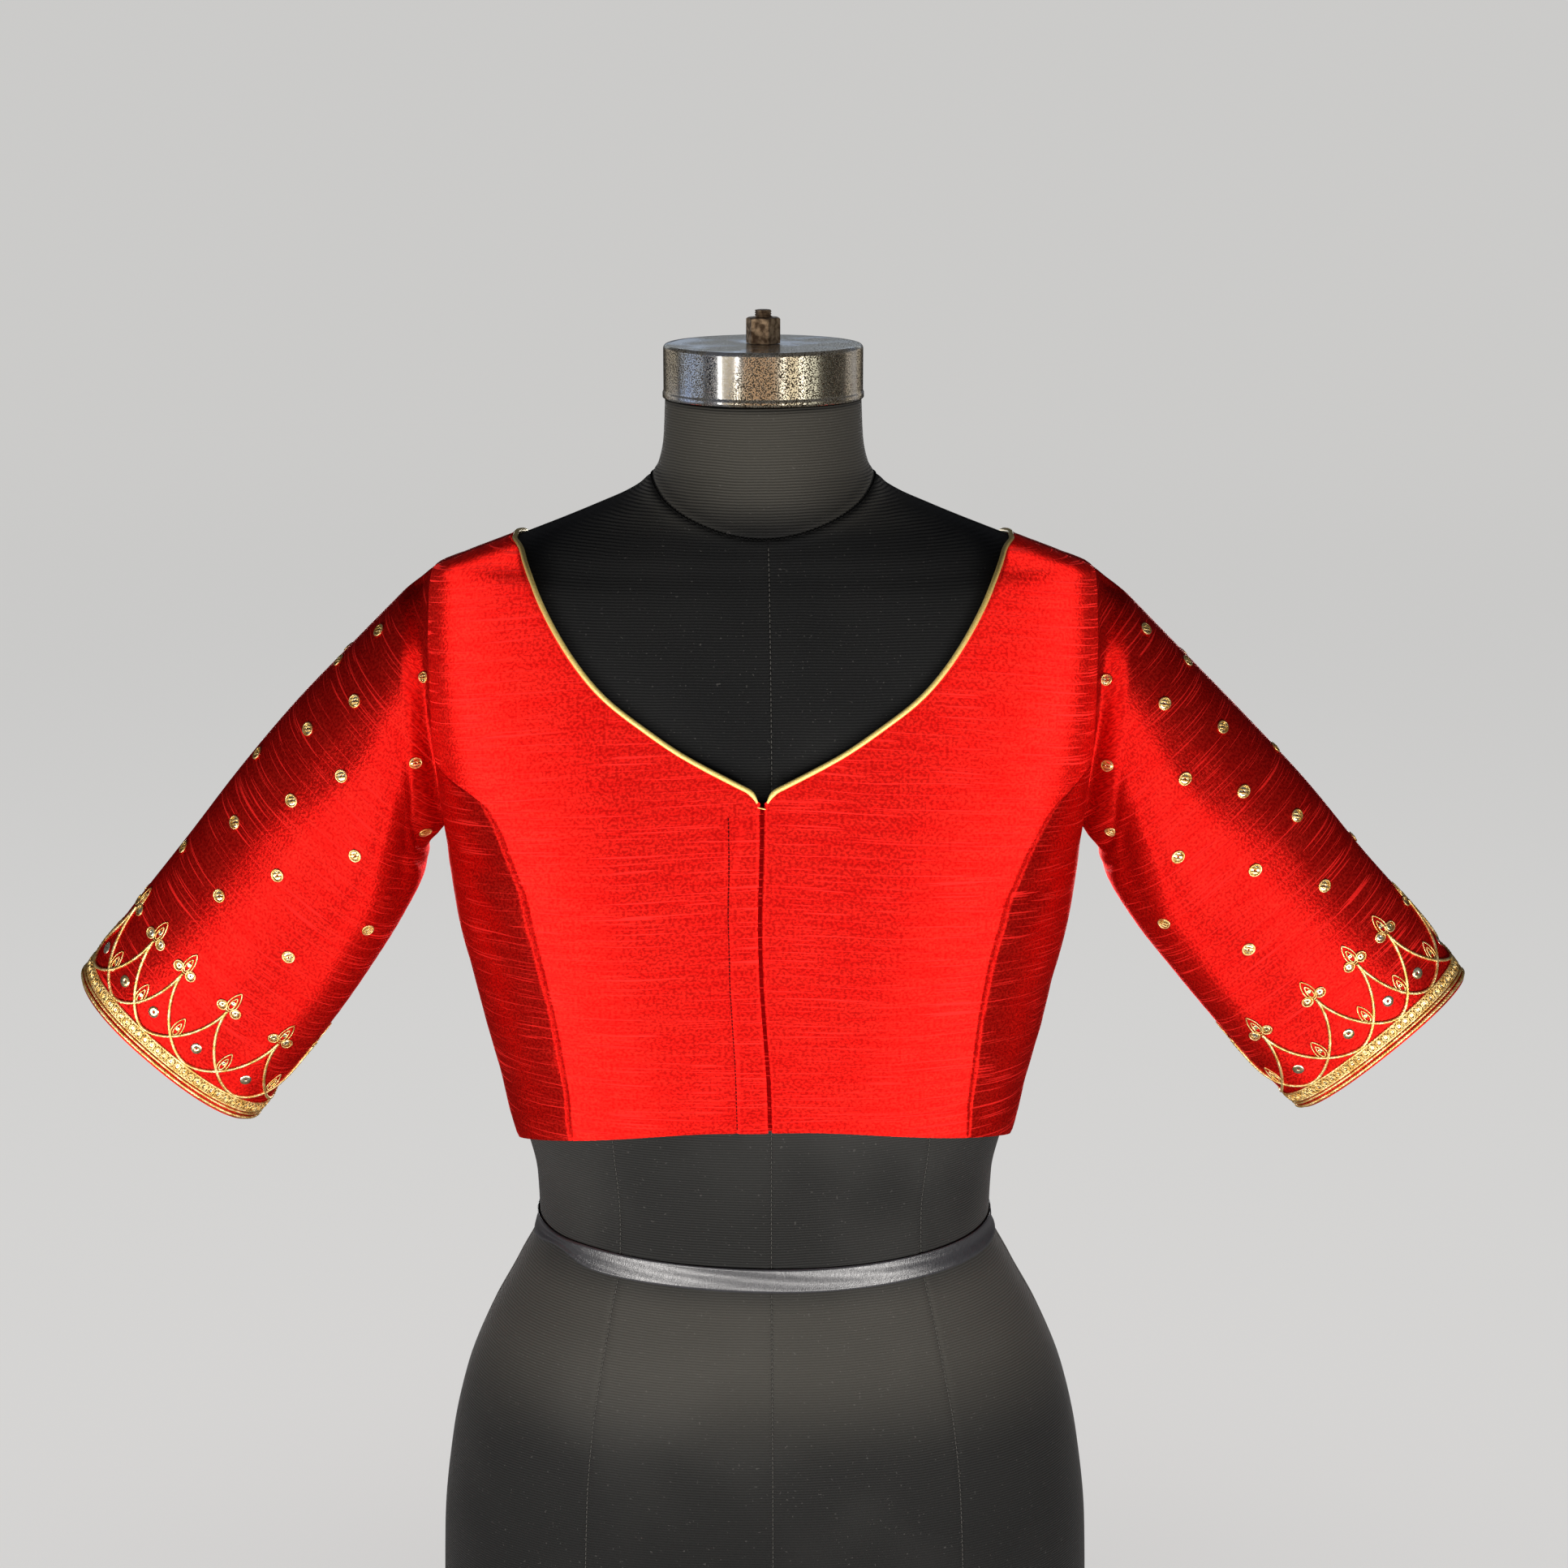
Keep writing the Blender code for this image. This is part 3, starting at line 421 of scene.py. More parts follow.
def front_neckline(count, crowding=1.0):
    """The front neckline from its lowest point to the shoulder."""
    height = NECK_POINT + (SHOULDER_NECK - NECK_POINT) * np.linspace(0, 1, FINE_POINTS)
    across = from_table(FRONT_NECKLINE, NECKLINE_COLUMNS, "across", height)
    angle = angle_at(across, height)
    fade = smooth_step(SHOULDER_NECK - NECK_ROLL, SHOULDER_NECK, height)
    angle = angle * (1 - fade)
    angle[0] = closure_angle(1, NECK_POINT)
    return evenly(angle, height, count, crowding)


def back_neckline(count, crowding=1.0):
    """The round back neckline from the centre back to the shoulder."""
    share = np.linspace(0, 1, FINE_POINTS) * 0.5 * math.pi
    height = SHOULDER_NECK - (SHOULDER_NECK - BACK_NECK_POINT) * np.cos(share)
    angle = angle_at(form_size("half_width", SHOULDER_NECK) * np.sin(share), height, behind=True)
    fade = smooth_step(SHOULDER_NECK - NECK_ROLL, SHOULDER_NECK, height)
    return evenly(angle * (1 - fade), height, count, crowding)


def front_middle(side):
    """The front edge from hem to neck point, and the neckline on to the shoulder."""
    low = hem_height(-0.5 * math.pi, side)
    edge_height = np.linspace(low, NECK_POINT, NECK_ROW + 1)[:-1]
    neck = front_neckline(UPPER_ARM_ROWS + 1, SHOULDER_CROWDING)
    return np.append(closure_angle(side, edge_height), neck[0]), np.append(edge_height, neck[1])


def back_middle():
    """The centre back from hem to neckline, and the back neckline on to the shoulder."""
    middle_height = np.linspace(HEM_BACK, BACK_NECK_POINT, NECK_ROW + 1)
    neck = back_neckline(UPPER_ARM_ROWS + 1, SHOULDER_CROWDING)
    return (np.append(np.full(NECK_ROW, 0.5 * math.pi), neck[0]),
            np.append(middle_height[:-1], neck[1]))


def followed(first, second):
    """A line, as angles and heights, run on by another that starts at its end."""
    return tuple(np.append(one, two[1:]) for one, two in zip(first, second))


def side_seam(side, arm):
    """The side seam from hem to armpit, run on by a part of the armhole."""
    height = np.linspace(hem_height(0.0, side), ARMPIT, SIDE_ROWS + 1)
    return followed((np.zeros_like(height), height), arm)


def ruled(outer, inner, columns, side):
    """Rows that run straight from an outer to an inner seam, and near the hem follow its curve."""
    share = np.linspace(0, 1, columns + 1)[None, :]
    angle = outer[0][:, None] * (1 - share) + inner[0][:, None] * share
    height = outer[1][:, None] * (1 - share) + inner[1][:, None] * share
    fade = np.linspace(1, 0, len(outer[0]))[:, None] ** 2
    height = height + (hem_height(angle[0], side) - height[0])[None, :] * fade
    return angle, height


def trimmed(points, edge, distance):
    """The sheet with one edge drawn in, measured square to that edge."""
    points = points.copy()
    rows = {"inner": points.transpose(1, 0, 2)[::-1], "outer": points.transpose(1, 0, 2),
            "bottom": points, "top": points[::-1]}[edge]
    along = unit(np.gradient(rows[0], axis=0))
    step = rows[1] - rows[0]
    square = step - along * np.sum(step * along, -1, keepdims=True)
    inward = unit(square)
    for end in (0, -1):
        lean = np.linalg.norm(square[end]) / np.linalg.norm(step[end])
        inward[end] = unit(step[end]) / max(lean, 0.5)
    rows[0] += inward * distance
    return points


def grid_normals(points, closed=False):
    """Outward normals of a grid: across x up, turned away from the grid's own upright axis."""
    if closed:
        across = np.roll(points, -1, 1) - np.roll(points, 1, 1)
    else:
        across = np.gradient(points, axis=1)
    normals = unit(np.cross(across, np.gradient(points, axis=0)))
    axis = points.mean(1, keepdims=True) if closed else np.zeros(3)
    outward = (points - axis) * (1.0, 1.0, 1.0 if closed else 0.0)
    return normals * np.sign(np.sum(outward * normals))


def lengths(points, axis):
    """Distance walked along each grid line of an axis, from its first point."""
    step = np.linalg.norm(np.diff(points, axis=axis), axis=-1)
    start = np.zeros_like(np.take(step, [0], axis=axis))
    return np.concatenate([start, np.cumsum(step, axis=axis)], axis=axis)


def bilinear(table, row, col):
    """Value of a table between its four nearest entries."""
    row = np.clip(row, 0, table.shape[0] - 1.001)
    col = np.clip(col, 0, table.shape[1] - 1.001)
    low = np.floor(row).astype(int)
    left = np.floor(col).astype(int)
    up = row - low
    right = col - left
    if table.ndim == 3:
        up = up[..., None]
        right = right[..., None]
    near = table[low, left] * (1 - right) + table[low, left + 1] * right
    far = table[low + 1, left] * (1 - right) + table[low + 1, left + 1] * right
    return near * (1 - up) + far * up


# Folds of the body, seen from the front: x and z of two ends, width and depth, in millimetres
FRONT_CREASES = [
    (-168, 507, -118, 488, 6.0, -1.3),
    (-166, 498, -122, 470, 5.0, 0.9),
    (-162, 480, -126, 452, 6.5, -0.8),
    (-158, 441, -112, 424, 8.0, -0.8),
    (-150, 405, -108, 395, 8.0, 0.7),
    (-146, 372, -104, 378, 9.0, -0.9),
    (-140, 350, -96, 362, 7.0, 0.8),
    (168, 507, 122, 486, 6.0, -1.4),
    (166, 496, 126, 466, 5.0, 0.9),
    (160, 468, 124, 448, 6.5, -0.8),
    (158, 430, 116, 418, 8.0, -0.9),
    (152, 402, 110, 388, 7.0, 0.8),
    (146, 366, 104, 372, 9.0, -0.9),
    (74, 408, 112, 384, 6.0, -1.0),
    (60, 396, 98, 372, 7.0, 0.6),
    (-30, 377, -84, 380, 8.0, -0.5),
    (22, 380, 70, 388, 9.0, 0.5),
    (-96, 566, -128, 530, 9.0, -0.5),
    (98, 568, 130, 530, 9.0, -0.5),
    (-14, 541, -17.5, 508, 2.4, -1.6),
]
BACK_CREASES = [
    (-166, 505, -120, 478, 7.0, -1.4),
    (-164, 488, -112, 452, 7.0, 1.0),
    (-160, 452, -96, 432, 9.0, -1.0),
    (-152, 408, -70, 398, 9.0, 0.9),
    (-146, 372, -60, 376, 10.0, -1.0),
    (166, 505, 118, 480, 7.0, -1.4),
    (164, 486, 108, 456, 7.0, 1.0),
    (158, 448, 92, 430, 9.0, -1.0),
    (150, 404, 66, 396, 9.0, 0.9),
    (146, 370, 56, 378, 10.0, -1.0),
    (-40, 420, 44, 416, 11.0, -0.9),
    (-52, 396, 38, 400, 9.0, 0.8),
    (-120, 560, -84, 500, 12.0, -0.7),
    (120, 560, 86, 500, 12.0, -0.7),
]


def crease_depth(x, z, table):
    """Soft troughs and ridges: depth * exp(-(distance from a slightly bowed segment / width)^2),
    faded to nothing over the segment's last parts."""
    made = np.zeros_like(x)
    for from_x, from_z, to_x, to_z, width, depth in np.array(table) * MM:
        run = np.array([to_x - from_x, to_z - from_z])
        length = np.hypot(*run)
        run = run / length
        along = ((x - from_x) * run[0] + (z - from_z) * run[1]) / length
        away = -(x - from_x) * run[1] + (z - from_z) * run[0]
        bow = away - 0.06 * length * (1 - (2 * np.clip(along, 0, 1) - 1) ** 2)
        fade = smooth_step(-0.12, 0.2, along) * (1 - smooth_step(0.8, 1.12, along))
        made += depth * fade * np.exp(-(bow / width) ** 2)
    return made


SEAM_ROLL = 0.12 * MM        # how far a sewn edge turns in
SEAM_ROLL_WIDTH = 0.8 * MM
PUCKER = 0.13 * MM
PUCKER_LENGTH = 8.5 * MM
PUCKER_REACH = 8.0 * MM
HEM_ROLL = 0.5 * MM
HEM_ROLL_WIDTH = 1.2 * MM


def seam_relief(away, along, phase):
    """A sewn edge: -roll * exp(-(away / width)^2), and puckers square to it that fade with
    exp(-away / reach)."""
    ripple = np.sin(2 * math.pi * along / PUCKER_LENGTH + phase + 1.7 * np.sin(along * 61 + phase))
    return (-SEAM_ROLL * np.exp(-(away / SEAM_ROLL_WIDTH) ** 2)
            + PUCKER * ripple * np.exp(-away / PUCKER_REACH) * (1 - np.exp(-away / (2 * MM))))


def hem_relief(away):
    """A turned hem: -roll * exp(-(away / width)^2)."""
    return -HEM_ROLL * np.exp(-(away / HEM_ROLL_WIDTH) ** 2)


WEAVE_POINTS = 90
WEAVE_HEIGHTS = np.linspace(320 * MM, 669 * MM, WEAVE_POINTS)
WEAVE_UP_AT = 90 * MM       # distance from the middle at which the length up is walked


def weave_tables():
    """Lookup tables of the body's weave: length round the form from the middle, at each height
    and angle, in front and behind, and length up the front between neck and arm."""
    turns = np.linspace(0, 0.5 * math.pi, WEAVE_POINTS)
    made = {}
    for behind, sign in ((False, -1), (True, 1)):
        angle = sign * (0.5 * math.pi - turns)
        made[behind] = lengths(form_point(*np.meshgrid(angle, WEAVE_HEIGHTS)), 1)
    across = np.full(WEAVE_POINTS, WEAVE_UP_AT)
    line = form_point(angle_at(across, WEAVE_HEIGHTS), WEAVE_HEIGHTS)
    line[..., 0] = 0
    made["up"] = lengths(line, 0)
    return made


WEAVE = weave_tables()
# How much a weft line falls on its way outward, in front and behind
WEFT_FALL = {False: 0.05, True: 0.02}
WEFT_FALL_FROM = 80 * MM
WEFT_FALL_MORE = {False: 1.0, True: 0.3}


def body_weave(angle, height, behind, side=1):
    """Flat place on the woven cloth, in metres: length round from the middle, and length up plus
    how far the weft has fallen, a * across + b * (across - 80 mm)^2."""
    last = WEAVE_POINTS - 1
    row = (height - WEAVE_HEIGHTS[0]) / (WEAVE_HEIGHTS[-1] - WEAVE_HEIGHTS[0]) * last
    turn = 0.5 * math.pi - np.abs(angle)
    across = np.abs(form_point(angle, height)[..., 0])
    u = bilinear(WEAVE[behind], row, turn / (0.5 * math.pi) * last)
    fall = WEFT_FALL[behind] * across
    fall += WEFT_FALL_MORE[behind] * np.maximum(across - WEFT_FALL_FROM, 0) ** 2
    v = np.interp(row, np.arange(WEAVE_POINTS), WEAVE["up"]) + fall
    return np.stack([u, v], -1) + ((0, 0) if side > 0 else (3.7, 0.21))


def quads(index):
    """Corner numbers of the quads between a grid's numbered points, or a stack of grids'."""
    corners = [index[..., :-1, :-1], index[..., :-1, 1:], index[..., 1:, 1:], index[..., 1:, :-1]]
    return np.stack(corners, -1).reshape(-1, 4)


def closed_up(values, axis=1):
    """A grid with its first line along an axis repeated at the end."""
    return np.concatenate([values, np.take(values, [0], axis=axis)], axis)


def grid_faces(rows, columns, closed=False):
    """Quads of a grid, closed round or open."""
    index = np.arange(rows * columns).reshape(rows, columns)
    return quads(closed_up(index) if closed else index)


def corner_places(places):
    """Texture places of each quad's four corners, from a grid of them."""
    return places.reshape(-1, 2)[grid_faces(*places.shape[:2])].reshape(-1, 2)


def make_mesh(name, points, faces, places=None):
    """A mesh from arrays of points, quads and, if given, texture places of the quads' corners."""
    mesh = bpy.data.meshes.new(name)
    points = np.ascontiguousarray(points.reshape(-1, 3), dtype=np.float32)
    faces = np.ascontiguousarray(faces, dtype=np.int32)
    mesh.vertices.add(len(points))
    mesh.vertices.foreach_set("co", points.ravel())
    mesh.loops.add(faces.size)
    mesh.loops.foreach_set("vertex_index", faces.ravel())
    mesh.polygons.add(len(faces))
    starts = np.arange(0, faces.size, faces.shape[1], dtype=np.int32)
    mesh.polygons.foreach_set("loop_start", starts)
    mesh.update(calc_edges=True)
    if places is not None:
        layer = mesh.uv_layers.new(name="weave")
        layer.data.foreach_set("uv", np.ascontiguousarray(places, dtype=np.float32).ravel())
    mesh.validate()
    mesh.shade_smooth()
    return mesh


def piece(name, mesh, finish, nodes=()):
    """Puts a mesh in the scene with its finish, riding on the part's body and standing for
    nodes."""
    made = bpy.data.objects.new(name, mesh)
    mesh.materials.append(finish)
    bpy.context.scene.collection.objects.link(made)
    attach(made, "root")
    if nodes:
        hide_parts(*nodes)
    return made


def cloth_sheet(name, points, weave, finish, nodes=(), thickness=CLOTH, closed=False):
    """A sheet of cloth on a grid, with its weave's places and a wall evenly to both sides."""
    faces = grid_faces(*points.shape[:2], closed=closed)
    return wall(piece(name, make_mesh(name, points, faces, corner_places(weave)),
                      finish, nodes), thickness)


def wall(made, thickness):
    """Gives a sheet its cloth wall, evenly to both sides."""
    solid = made.modifiers.new("Wall", "SOLIDIFY")
    solid.thickness = thickness
    solid.offset = 0.0
    solid.use_rim = True
    return made


def ring_weave(points):
    """Flat places on a strip that closes round: length walked round it and across it."""
    whole = closed_up(points)
    return np.stack([lengths(whole, 1), lengths(whole, 0)], -1)


def panel_relief(points, normals, edges, creases, phase):
    """Moves a panel's points along their normals by its seams, hem and creases."""
    round_it = lengths(points, 1)
    up_it = lengths(points, 0)
    ways = {
        "outer": (round_it, up_it),
        "inner": (round_it[:, -1:] - round_it, up_it),
        "bottom": (up_it, round_it),
        "top": (up_it[-1:] - up_it, round_it),
    }
    depth = crease_depth(points[..., 0], points[..., 2], creases)
    for number, (edge, kind, first_row) in enumerate(edges):
        away, along = ways[edge]
        if kind == "seam":
            relief = seam_relief(away, along, phase + number)
        else:
            relief = hem_relief(away)
        depth[first_row:] += relief[first_row:]
    return points + normals * depth[..., None]


def front_centre(side, finish):
    """Front with the neckline: rows ruled from the princess seam and armhole to the front edge."""
    outer = followed(princess_seam(side), armhole(front_turns()[1]))
    angle, height = ruled(outer, front_middle(side), CENTRE_COLUMNS, side)
    points = cloth_point(angle, height)
    points = trimmed(trimmed(points, "outer", TRIM), "top", TRIM)
    points = round_corner(piped(points))
    points[..., 0] *= side
    normals = grid_normals(points)
    edges = [("outer", "seam", 0), ("top", "seam", 0), ("bottom", "hem", 0), ("inner", "hem", 0)]
    points = panel_relief(points, normals, edges, FRONT_CREASES, 0.4 * side)
    if side < 0:
        points = placket_groove(points, normals)
        strip_stitches(points, normals, plain_thread("red_thread", (0.10, 0.002, 0.002)))
    made = cloth_sheet("silk_front_" + SIDE_NAME[side], points,
                       body_weave(angle, height, False, side), finish,
                       ["front_centre_" + SIDE_NAME[side]])


CORNER_DROP = 3.2 * MM
CORNER_REACH = 9.0 * MM


def piped(points):
    """Draws a panel's neckline in by the room that the piping takes."""
    points = points.copy()
    drawn_in = trimmed(points, "inner", PIPING_RADIUS + PIPING_ROOM)
    points[NECK_ROW + 1:] = drawn_in[NECK_ROW + 1:]
    return points


def round_corner(points):
    """Rounds the front edge's top corner: points near it come down with (1 - away / reach)^2."""
    away = np.linalg.norm(points - points[NECK_ROW, -1], axis=-1)
    near = np.clip(1 - away / CORNER_REACH, 0, 1) ** 2
    points = points.copy()
    points[..., 2] -= CORNER_DROP * near
    return points


STRIP_WIDTH = 16.5 * MM      # the hook strip on the wearer's right front, from edge to stitches
STRIP_GROOVE = 0.55 * MM
STRIP_GROOVE_WIDTH = 1.1 * MM
STRIP_RISE = 0.45 * MM


def from_edge(points):
    """Distance of each point from its row's end at the front edge."""
    walked = lengths(points, 1)
    return walked[:, -1:] - walked


def placket_groove(points, normals):
    """The folded strip under the hooks: it stands up a little, and its stitches draw a groove in
    as -depth * exp(-(distance from the line / width)^2)."""
    away = from_edge(points)
    rows = np.arange(points.shape[0])[:, None]
    below = 1 - smooth_step(NECK_ROW - 10, NECK_ROW - 2, rows)
    groove = -STRIP_GROOVE * np.exp(-((away - STRIP_WIDTH) / STRIP_GROOVE_WIDTH) ** 2)
    raised = STRIP_RISE * (1 - smooth_step(STRIP_WIDTH - 2 * MM, STRIP_WIDTH, away))
    return points + normals * ((groove + raised) * below)[..., None]


def strip_stitches(points, normals, finish):
    """The row of red stitches that holds the hook strip, from below the neck to the hem."""
    away = from_edge(points)
    line, outward = [], []
    for row in range(1, NECK_ROW - 5):
        at = np.interp(STRIP_WIDTH, away[row, ::-1], np.arange(away.shape[1])[::-1])
        low = int(at)
        share = at - low
        line.append(points[row, low] * (1 - share) + points[row, low + 1] * share)
        outward.append(normals[row, low])
    line = np.array(line) + np.array(outward) * (0.5 * CLOTH - 0.10 * MM)
    made = stitches(line, np.array(outward), 2.1 * MM, 1.6 * MM, 0.36 * MM)
    finished("strip_stitches", *made, finish, "silk")


def front_side(side, finish):
    """Side front under the arm, ruled from the side seam to the princess seam."""
    outer = side_seam(side, armhole(front_turns()[0]))
    angle, height = ruled(outer, princess_seam(side), SIDE_COLUMNS, side)
    points = cloth_point(angle, height)
    points = trimmed(trimmed(points, "outer", TRIM), "inner", TRIM)[:-1]
    points[..., 0] *= side
    normals = grid_normals(points)
    edges = [("outer", "seam", 0), ("inner", "seam", 0), ("bottom", "hem", 0)]
    points = panel_relief(points, normals, edges, FRONT_CREASES, 2.1 * side)
    made = cloth_sheet("silk_side_" + SIDE_NAME[side], points,
                       body_weave(angle, height, False, side)[:-1] + (0.9, 0.05), finish,
                       ["front_side_" + SIDE_NAME[side]])


def back_panel(finish):
    """The back in one piece, each half ruled from the side seam and armhole to the centre back
    and the round neckline."""
    arm = armhole(np.linspace(math.pi, 2 * math.pi, LOWER_ARM_ROWS + UPPER_ARM_ROWS + 1))
    halves = []
    for side in (1, -1):
        angle, height = ruled(side_seam(side, arm), back_middle(), BACK_COLUMNS, side)
        height[0] = hem_height(angle[0], side)
        points = cloth_point(angle, height)
        points = piped(trimmed(trimmed(points, "outer", TRIM), "top", TRIM))
        points[NECK_ROW, -1, 2] -= PIPING_RADIUS + SEAM_GAP
        points[..., 0] *= side
        normals = grid_normals(points)
        edges = [("outer", "seam", 0), ("top", "seam", 0), ("bottom", "hem", 0),
                 ("inner", "hem", NECK_ROW + 1)]
        points = panel_relief(points, normals, edges, BACK_CREASES, 1.3)
        points[:NECK_ROW + 1, -1, 0] = 0.0
        halves.append((points, corner_places(body_weave(angle, height, True) * (side, 1))))
    middle = 0.5 * (halves[0][0][:NECK_ROW + 1, -1] + halves[1][0][:NECK_ROW + 1, -1])
    for half in halves:
        half[0][:NECK_ROW + 1, -1] = middle
    points, faces = join([(half[0], grid_faces(*half[0].shape[:2])) for half in halves])
    mesh = make_mesh("silk_back", points, faces, np.concatenate([half[1] for half in halves]))
    merge(mesh)
    made = wall(piece("silk_back", mesh, finish, ["back"]), CLOTH)


def merge(mesh):
    """Joins points that lie on one another, and turns every face outward."""
    work = bmesh.new()
    work.from_mesh(mesh)
    bmesh.ops.remove_doubles(work, verts=work.verts, dist=0.00002)
    bmesh.ops.recalc_face_normals(work, faces=work.faces)
    work.to_mesh(mesh)
    work.free()
    mesh.shade_smooth()


# Sleeves

def sleeve_ring(side, along, turns):
    """One section of the sleeve: a superellipse between its upper and lower folds."""
    table = LEFT_SLEEVE if side > 0 else RIGHT_SLEEVE
    places = column(table, SLEEVE_COLUMNS, "along")
    upper_x, upper_z, lower_x, lower_z, depth = (
        smooth_table(places, column(table, SLEEVE_COLUMNS, name) * MM, along)
        for name in SLEEVE_COLUMNS[1:])
    centre = np.array([upper_x + lower_x, 0, upper_z + lower_z]) * 0.5
    half = np.array([upper_x - lower_x, 0, upper_z - lower_z]) * 0.5
    downward = unit(np.array([half[2], 0, -half[0]]))
    cosine = np.cos(turns)
    sine = np.sin(turns)
    power = SLEEVE_SQUARENESS
    reach = (np.abs(cosine) ** power + np.abs(sine) ** power) ** (-1 / power)
    last = smooth_step(0.5, 1.0, along)
    lean = CUFF_LEAN[side] * last
    return (centre + downward * (CUFF_REACH[side] * last) + half * (reach * cosine)[:, None]
            + np.array([0, -1, 0]) * (reach * sine * depth)[:, None]
            + downward * (lean * reach * sine)[:, None])


def sleeve_head(turns):
    """Armhole points, and the direction in which the cloth runs on into the sleeve."""
    angle, height = armhole(turns)
    step = 1e-3
    ahead = cloth_point(*armhole(turns + step)) - cloth_point(*armhole(turns - step))
    normal = form_normal(angle, height)
    return cloth_point(angle, height), unit(np.cross(normal, unit(ahead)))


def fold_depth(along, turns, table):
    """Soft troughs and ridges of the sleeve, each a long bell lying across the sleeve."""
    depth = np.zeros(np.broadcast(along, turns).shape)
    for place_along, turn, length, spread, slope, height in table:
        x = (along - place_along) / length
        y = (np.degrees(turns) - turn) / spread
        tilt = math.radians(slope)
        run = x * math.cos(tilt) + y * math.sin(tilt) * 0.5
        cross = -x * math.sin(tilt) + y * math.cos(tilt)
        depth += height * MM * np.exp(-run ** 2 - cross ** 2)
    return depth


FINE_SLEEVE_FOLDS = [
    (0.12, 150, 0.07, 9, 62, -2.6),
    (0.16, 118, 0.10, 7, 66, 1.2),
    (0.27, 142, 0.10, 8, 50, -1.8),
    (0.40, 133, 0.09, 10, 30, 1.2),
    (0.55, 70, 0.08, 9, -35, -0.8),
    (0.62, 122, 0.09, 10, 25, -1.0),
    (0.33, 66, 0.10, 8, -20, -0.7),
    (0.74, 96, 0.07, 12, 15, 0.8),
    (0.12, 212, 0.07, 9, -62, -2.4),
    (0.28, 225, 0.10, 8, -50, -1.6),
    (0.42, 214, 0.09, 10, -30, 1.2),
    (0.60, 250, 0.09, 12, -25, -1.0),
    (0.52, 296, 0.08, 10, 35, -0.8),
    (0.115, 136, 0.026, 20, 90, -2.2),
    (0.062, 146, 0.020, 18, 90, 1.3),
    (0.190, 150, 0.028, 16, 84, -1.4),
    (0.120, 224, 0.028, 20, 90, -1.8),
    (0.72, 262, 0.08, 12, 15, 0.8),
]


def sleeve_surface(side, rings, turns):
    """The sleeve's middle surface: rings of the section table, and before it a Hermite curve that
    leaves the armhole in the panel's own direction."""
    first = TABLE_STARTS
    begin, direction = sleeve_head(turns)
    begin = begin + direction * SEAM_GAP
    join = sleeve_ring(side, first, turns)
    later = sleeve_ring(side, first + 0.03, turns)
    leave = unit(later - join)
    open_share = 0.5 + 0.5 * np.cos(turns)
    reach = (ARMPIT_REACH + (SLEEVE_HEAD_REACH - ARMPIT_REACH) * open_share)[:, None]
    span = np.linalg.norm(join - begin, axis=1)[:, None]
    rows = []
    for along in rings:
        if along < first:
            t = along / first
            row = ((2 * t ** 3 - 3 * t ** 2 + 1) * begin
                   + (t ** 3 - 2 * t ** 2 + t) * direction * reach * 2
                   + (3 * t ** 2 - 2 * t ** 3) * join + (t ** 3 - t ** 2) * leave * span)
        else:
            row = sleeve_ring(side, along, turns)
        rows.append(row)
    return np.array(rows)


def folded_sleeve(side, rings, turns):
    """The sleeve's surface with its folds, mirrored for the wearer's right, and its normals."""
    surface = sleeve_surface(side, rings, turns)
    normals = grid_normals(surface, closed=True)
    along = np.array(rings)[:, None]
    wide = np.mod(turns, 2 * math.pi)[None, :]
    depth = fold_depth(along, wide, SLEEVE_FOLDS) + fold_depth(along, wide, FINE_SLEEVE_FOLDS)
    surface = surface + normals * depth[..., None]
    surface = surface * (side, 1, 1)
    return surface, grid_normals(surface, closed=True)


def sleeve_rings():
    """Places along the sleeve, closer together where it turns out of the armhole."""
    head = TABLE_STARTS * np.linspace(0, 1, 22) ** 1.5
    return np.append(head[:-1], np.linspace(TABLE_STARTS, 1.0, SLEEVE_ROWS - 21))


def sleeve(side, finish):
    """Elbow sleeve: the folded tube with a sewn head, an underarm seam and a turned hem."""
    rings = sleeve_rings()
    turns = np.linspace(-math.pi, math.pi, SLEEVE_COLUMNS_AROUND, endpoint=False)
    points, normals = folded_sleeve(side, rings, turns)
    round_it, up_it = np.moveaxis(ring_weave(points), -1, 0)
    seam = np.minimum(round_it, round_it[:, -1:] - round_it)
    depth = (seam_relief(up_it, round_it, 0.7)
             + seam_relief(seam, up_it, 1.9) * 0.7
             + hem_relief(up_it[-1:] - up_it))
    points = points + normals * depth[:, :-1, None]
    top = round_it[:, SLEEVE_COLUMNS_AROUND // 2][:, None]
    weave = np.stack([round_it - top, up_it[-1:] - up_it], -1) + (7.0 + side, 0.4)
    made = cloth_sheet("silk_sleeve_" + SIDE_NAME[side], points, weave, finish,
                       ["sleeve_" + SIDE_NAME[side]], closed=True)


CHART_SHARES = 361
CHART_HEIGHT = 310 * MM
CHART_ROWS = 311


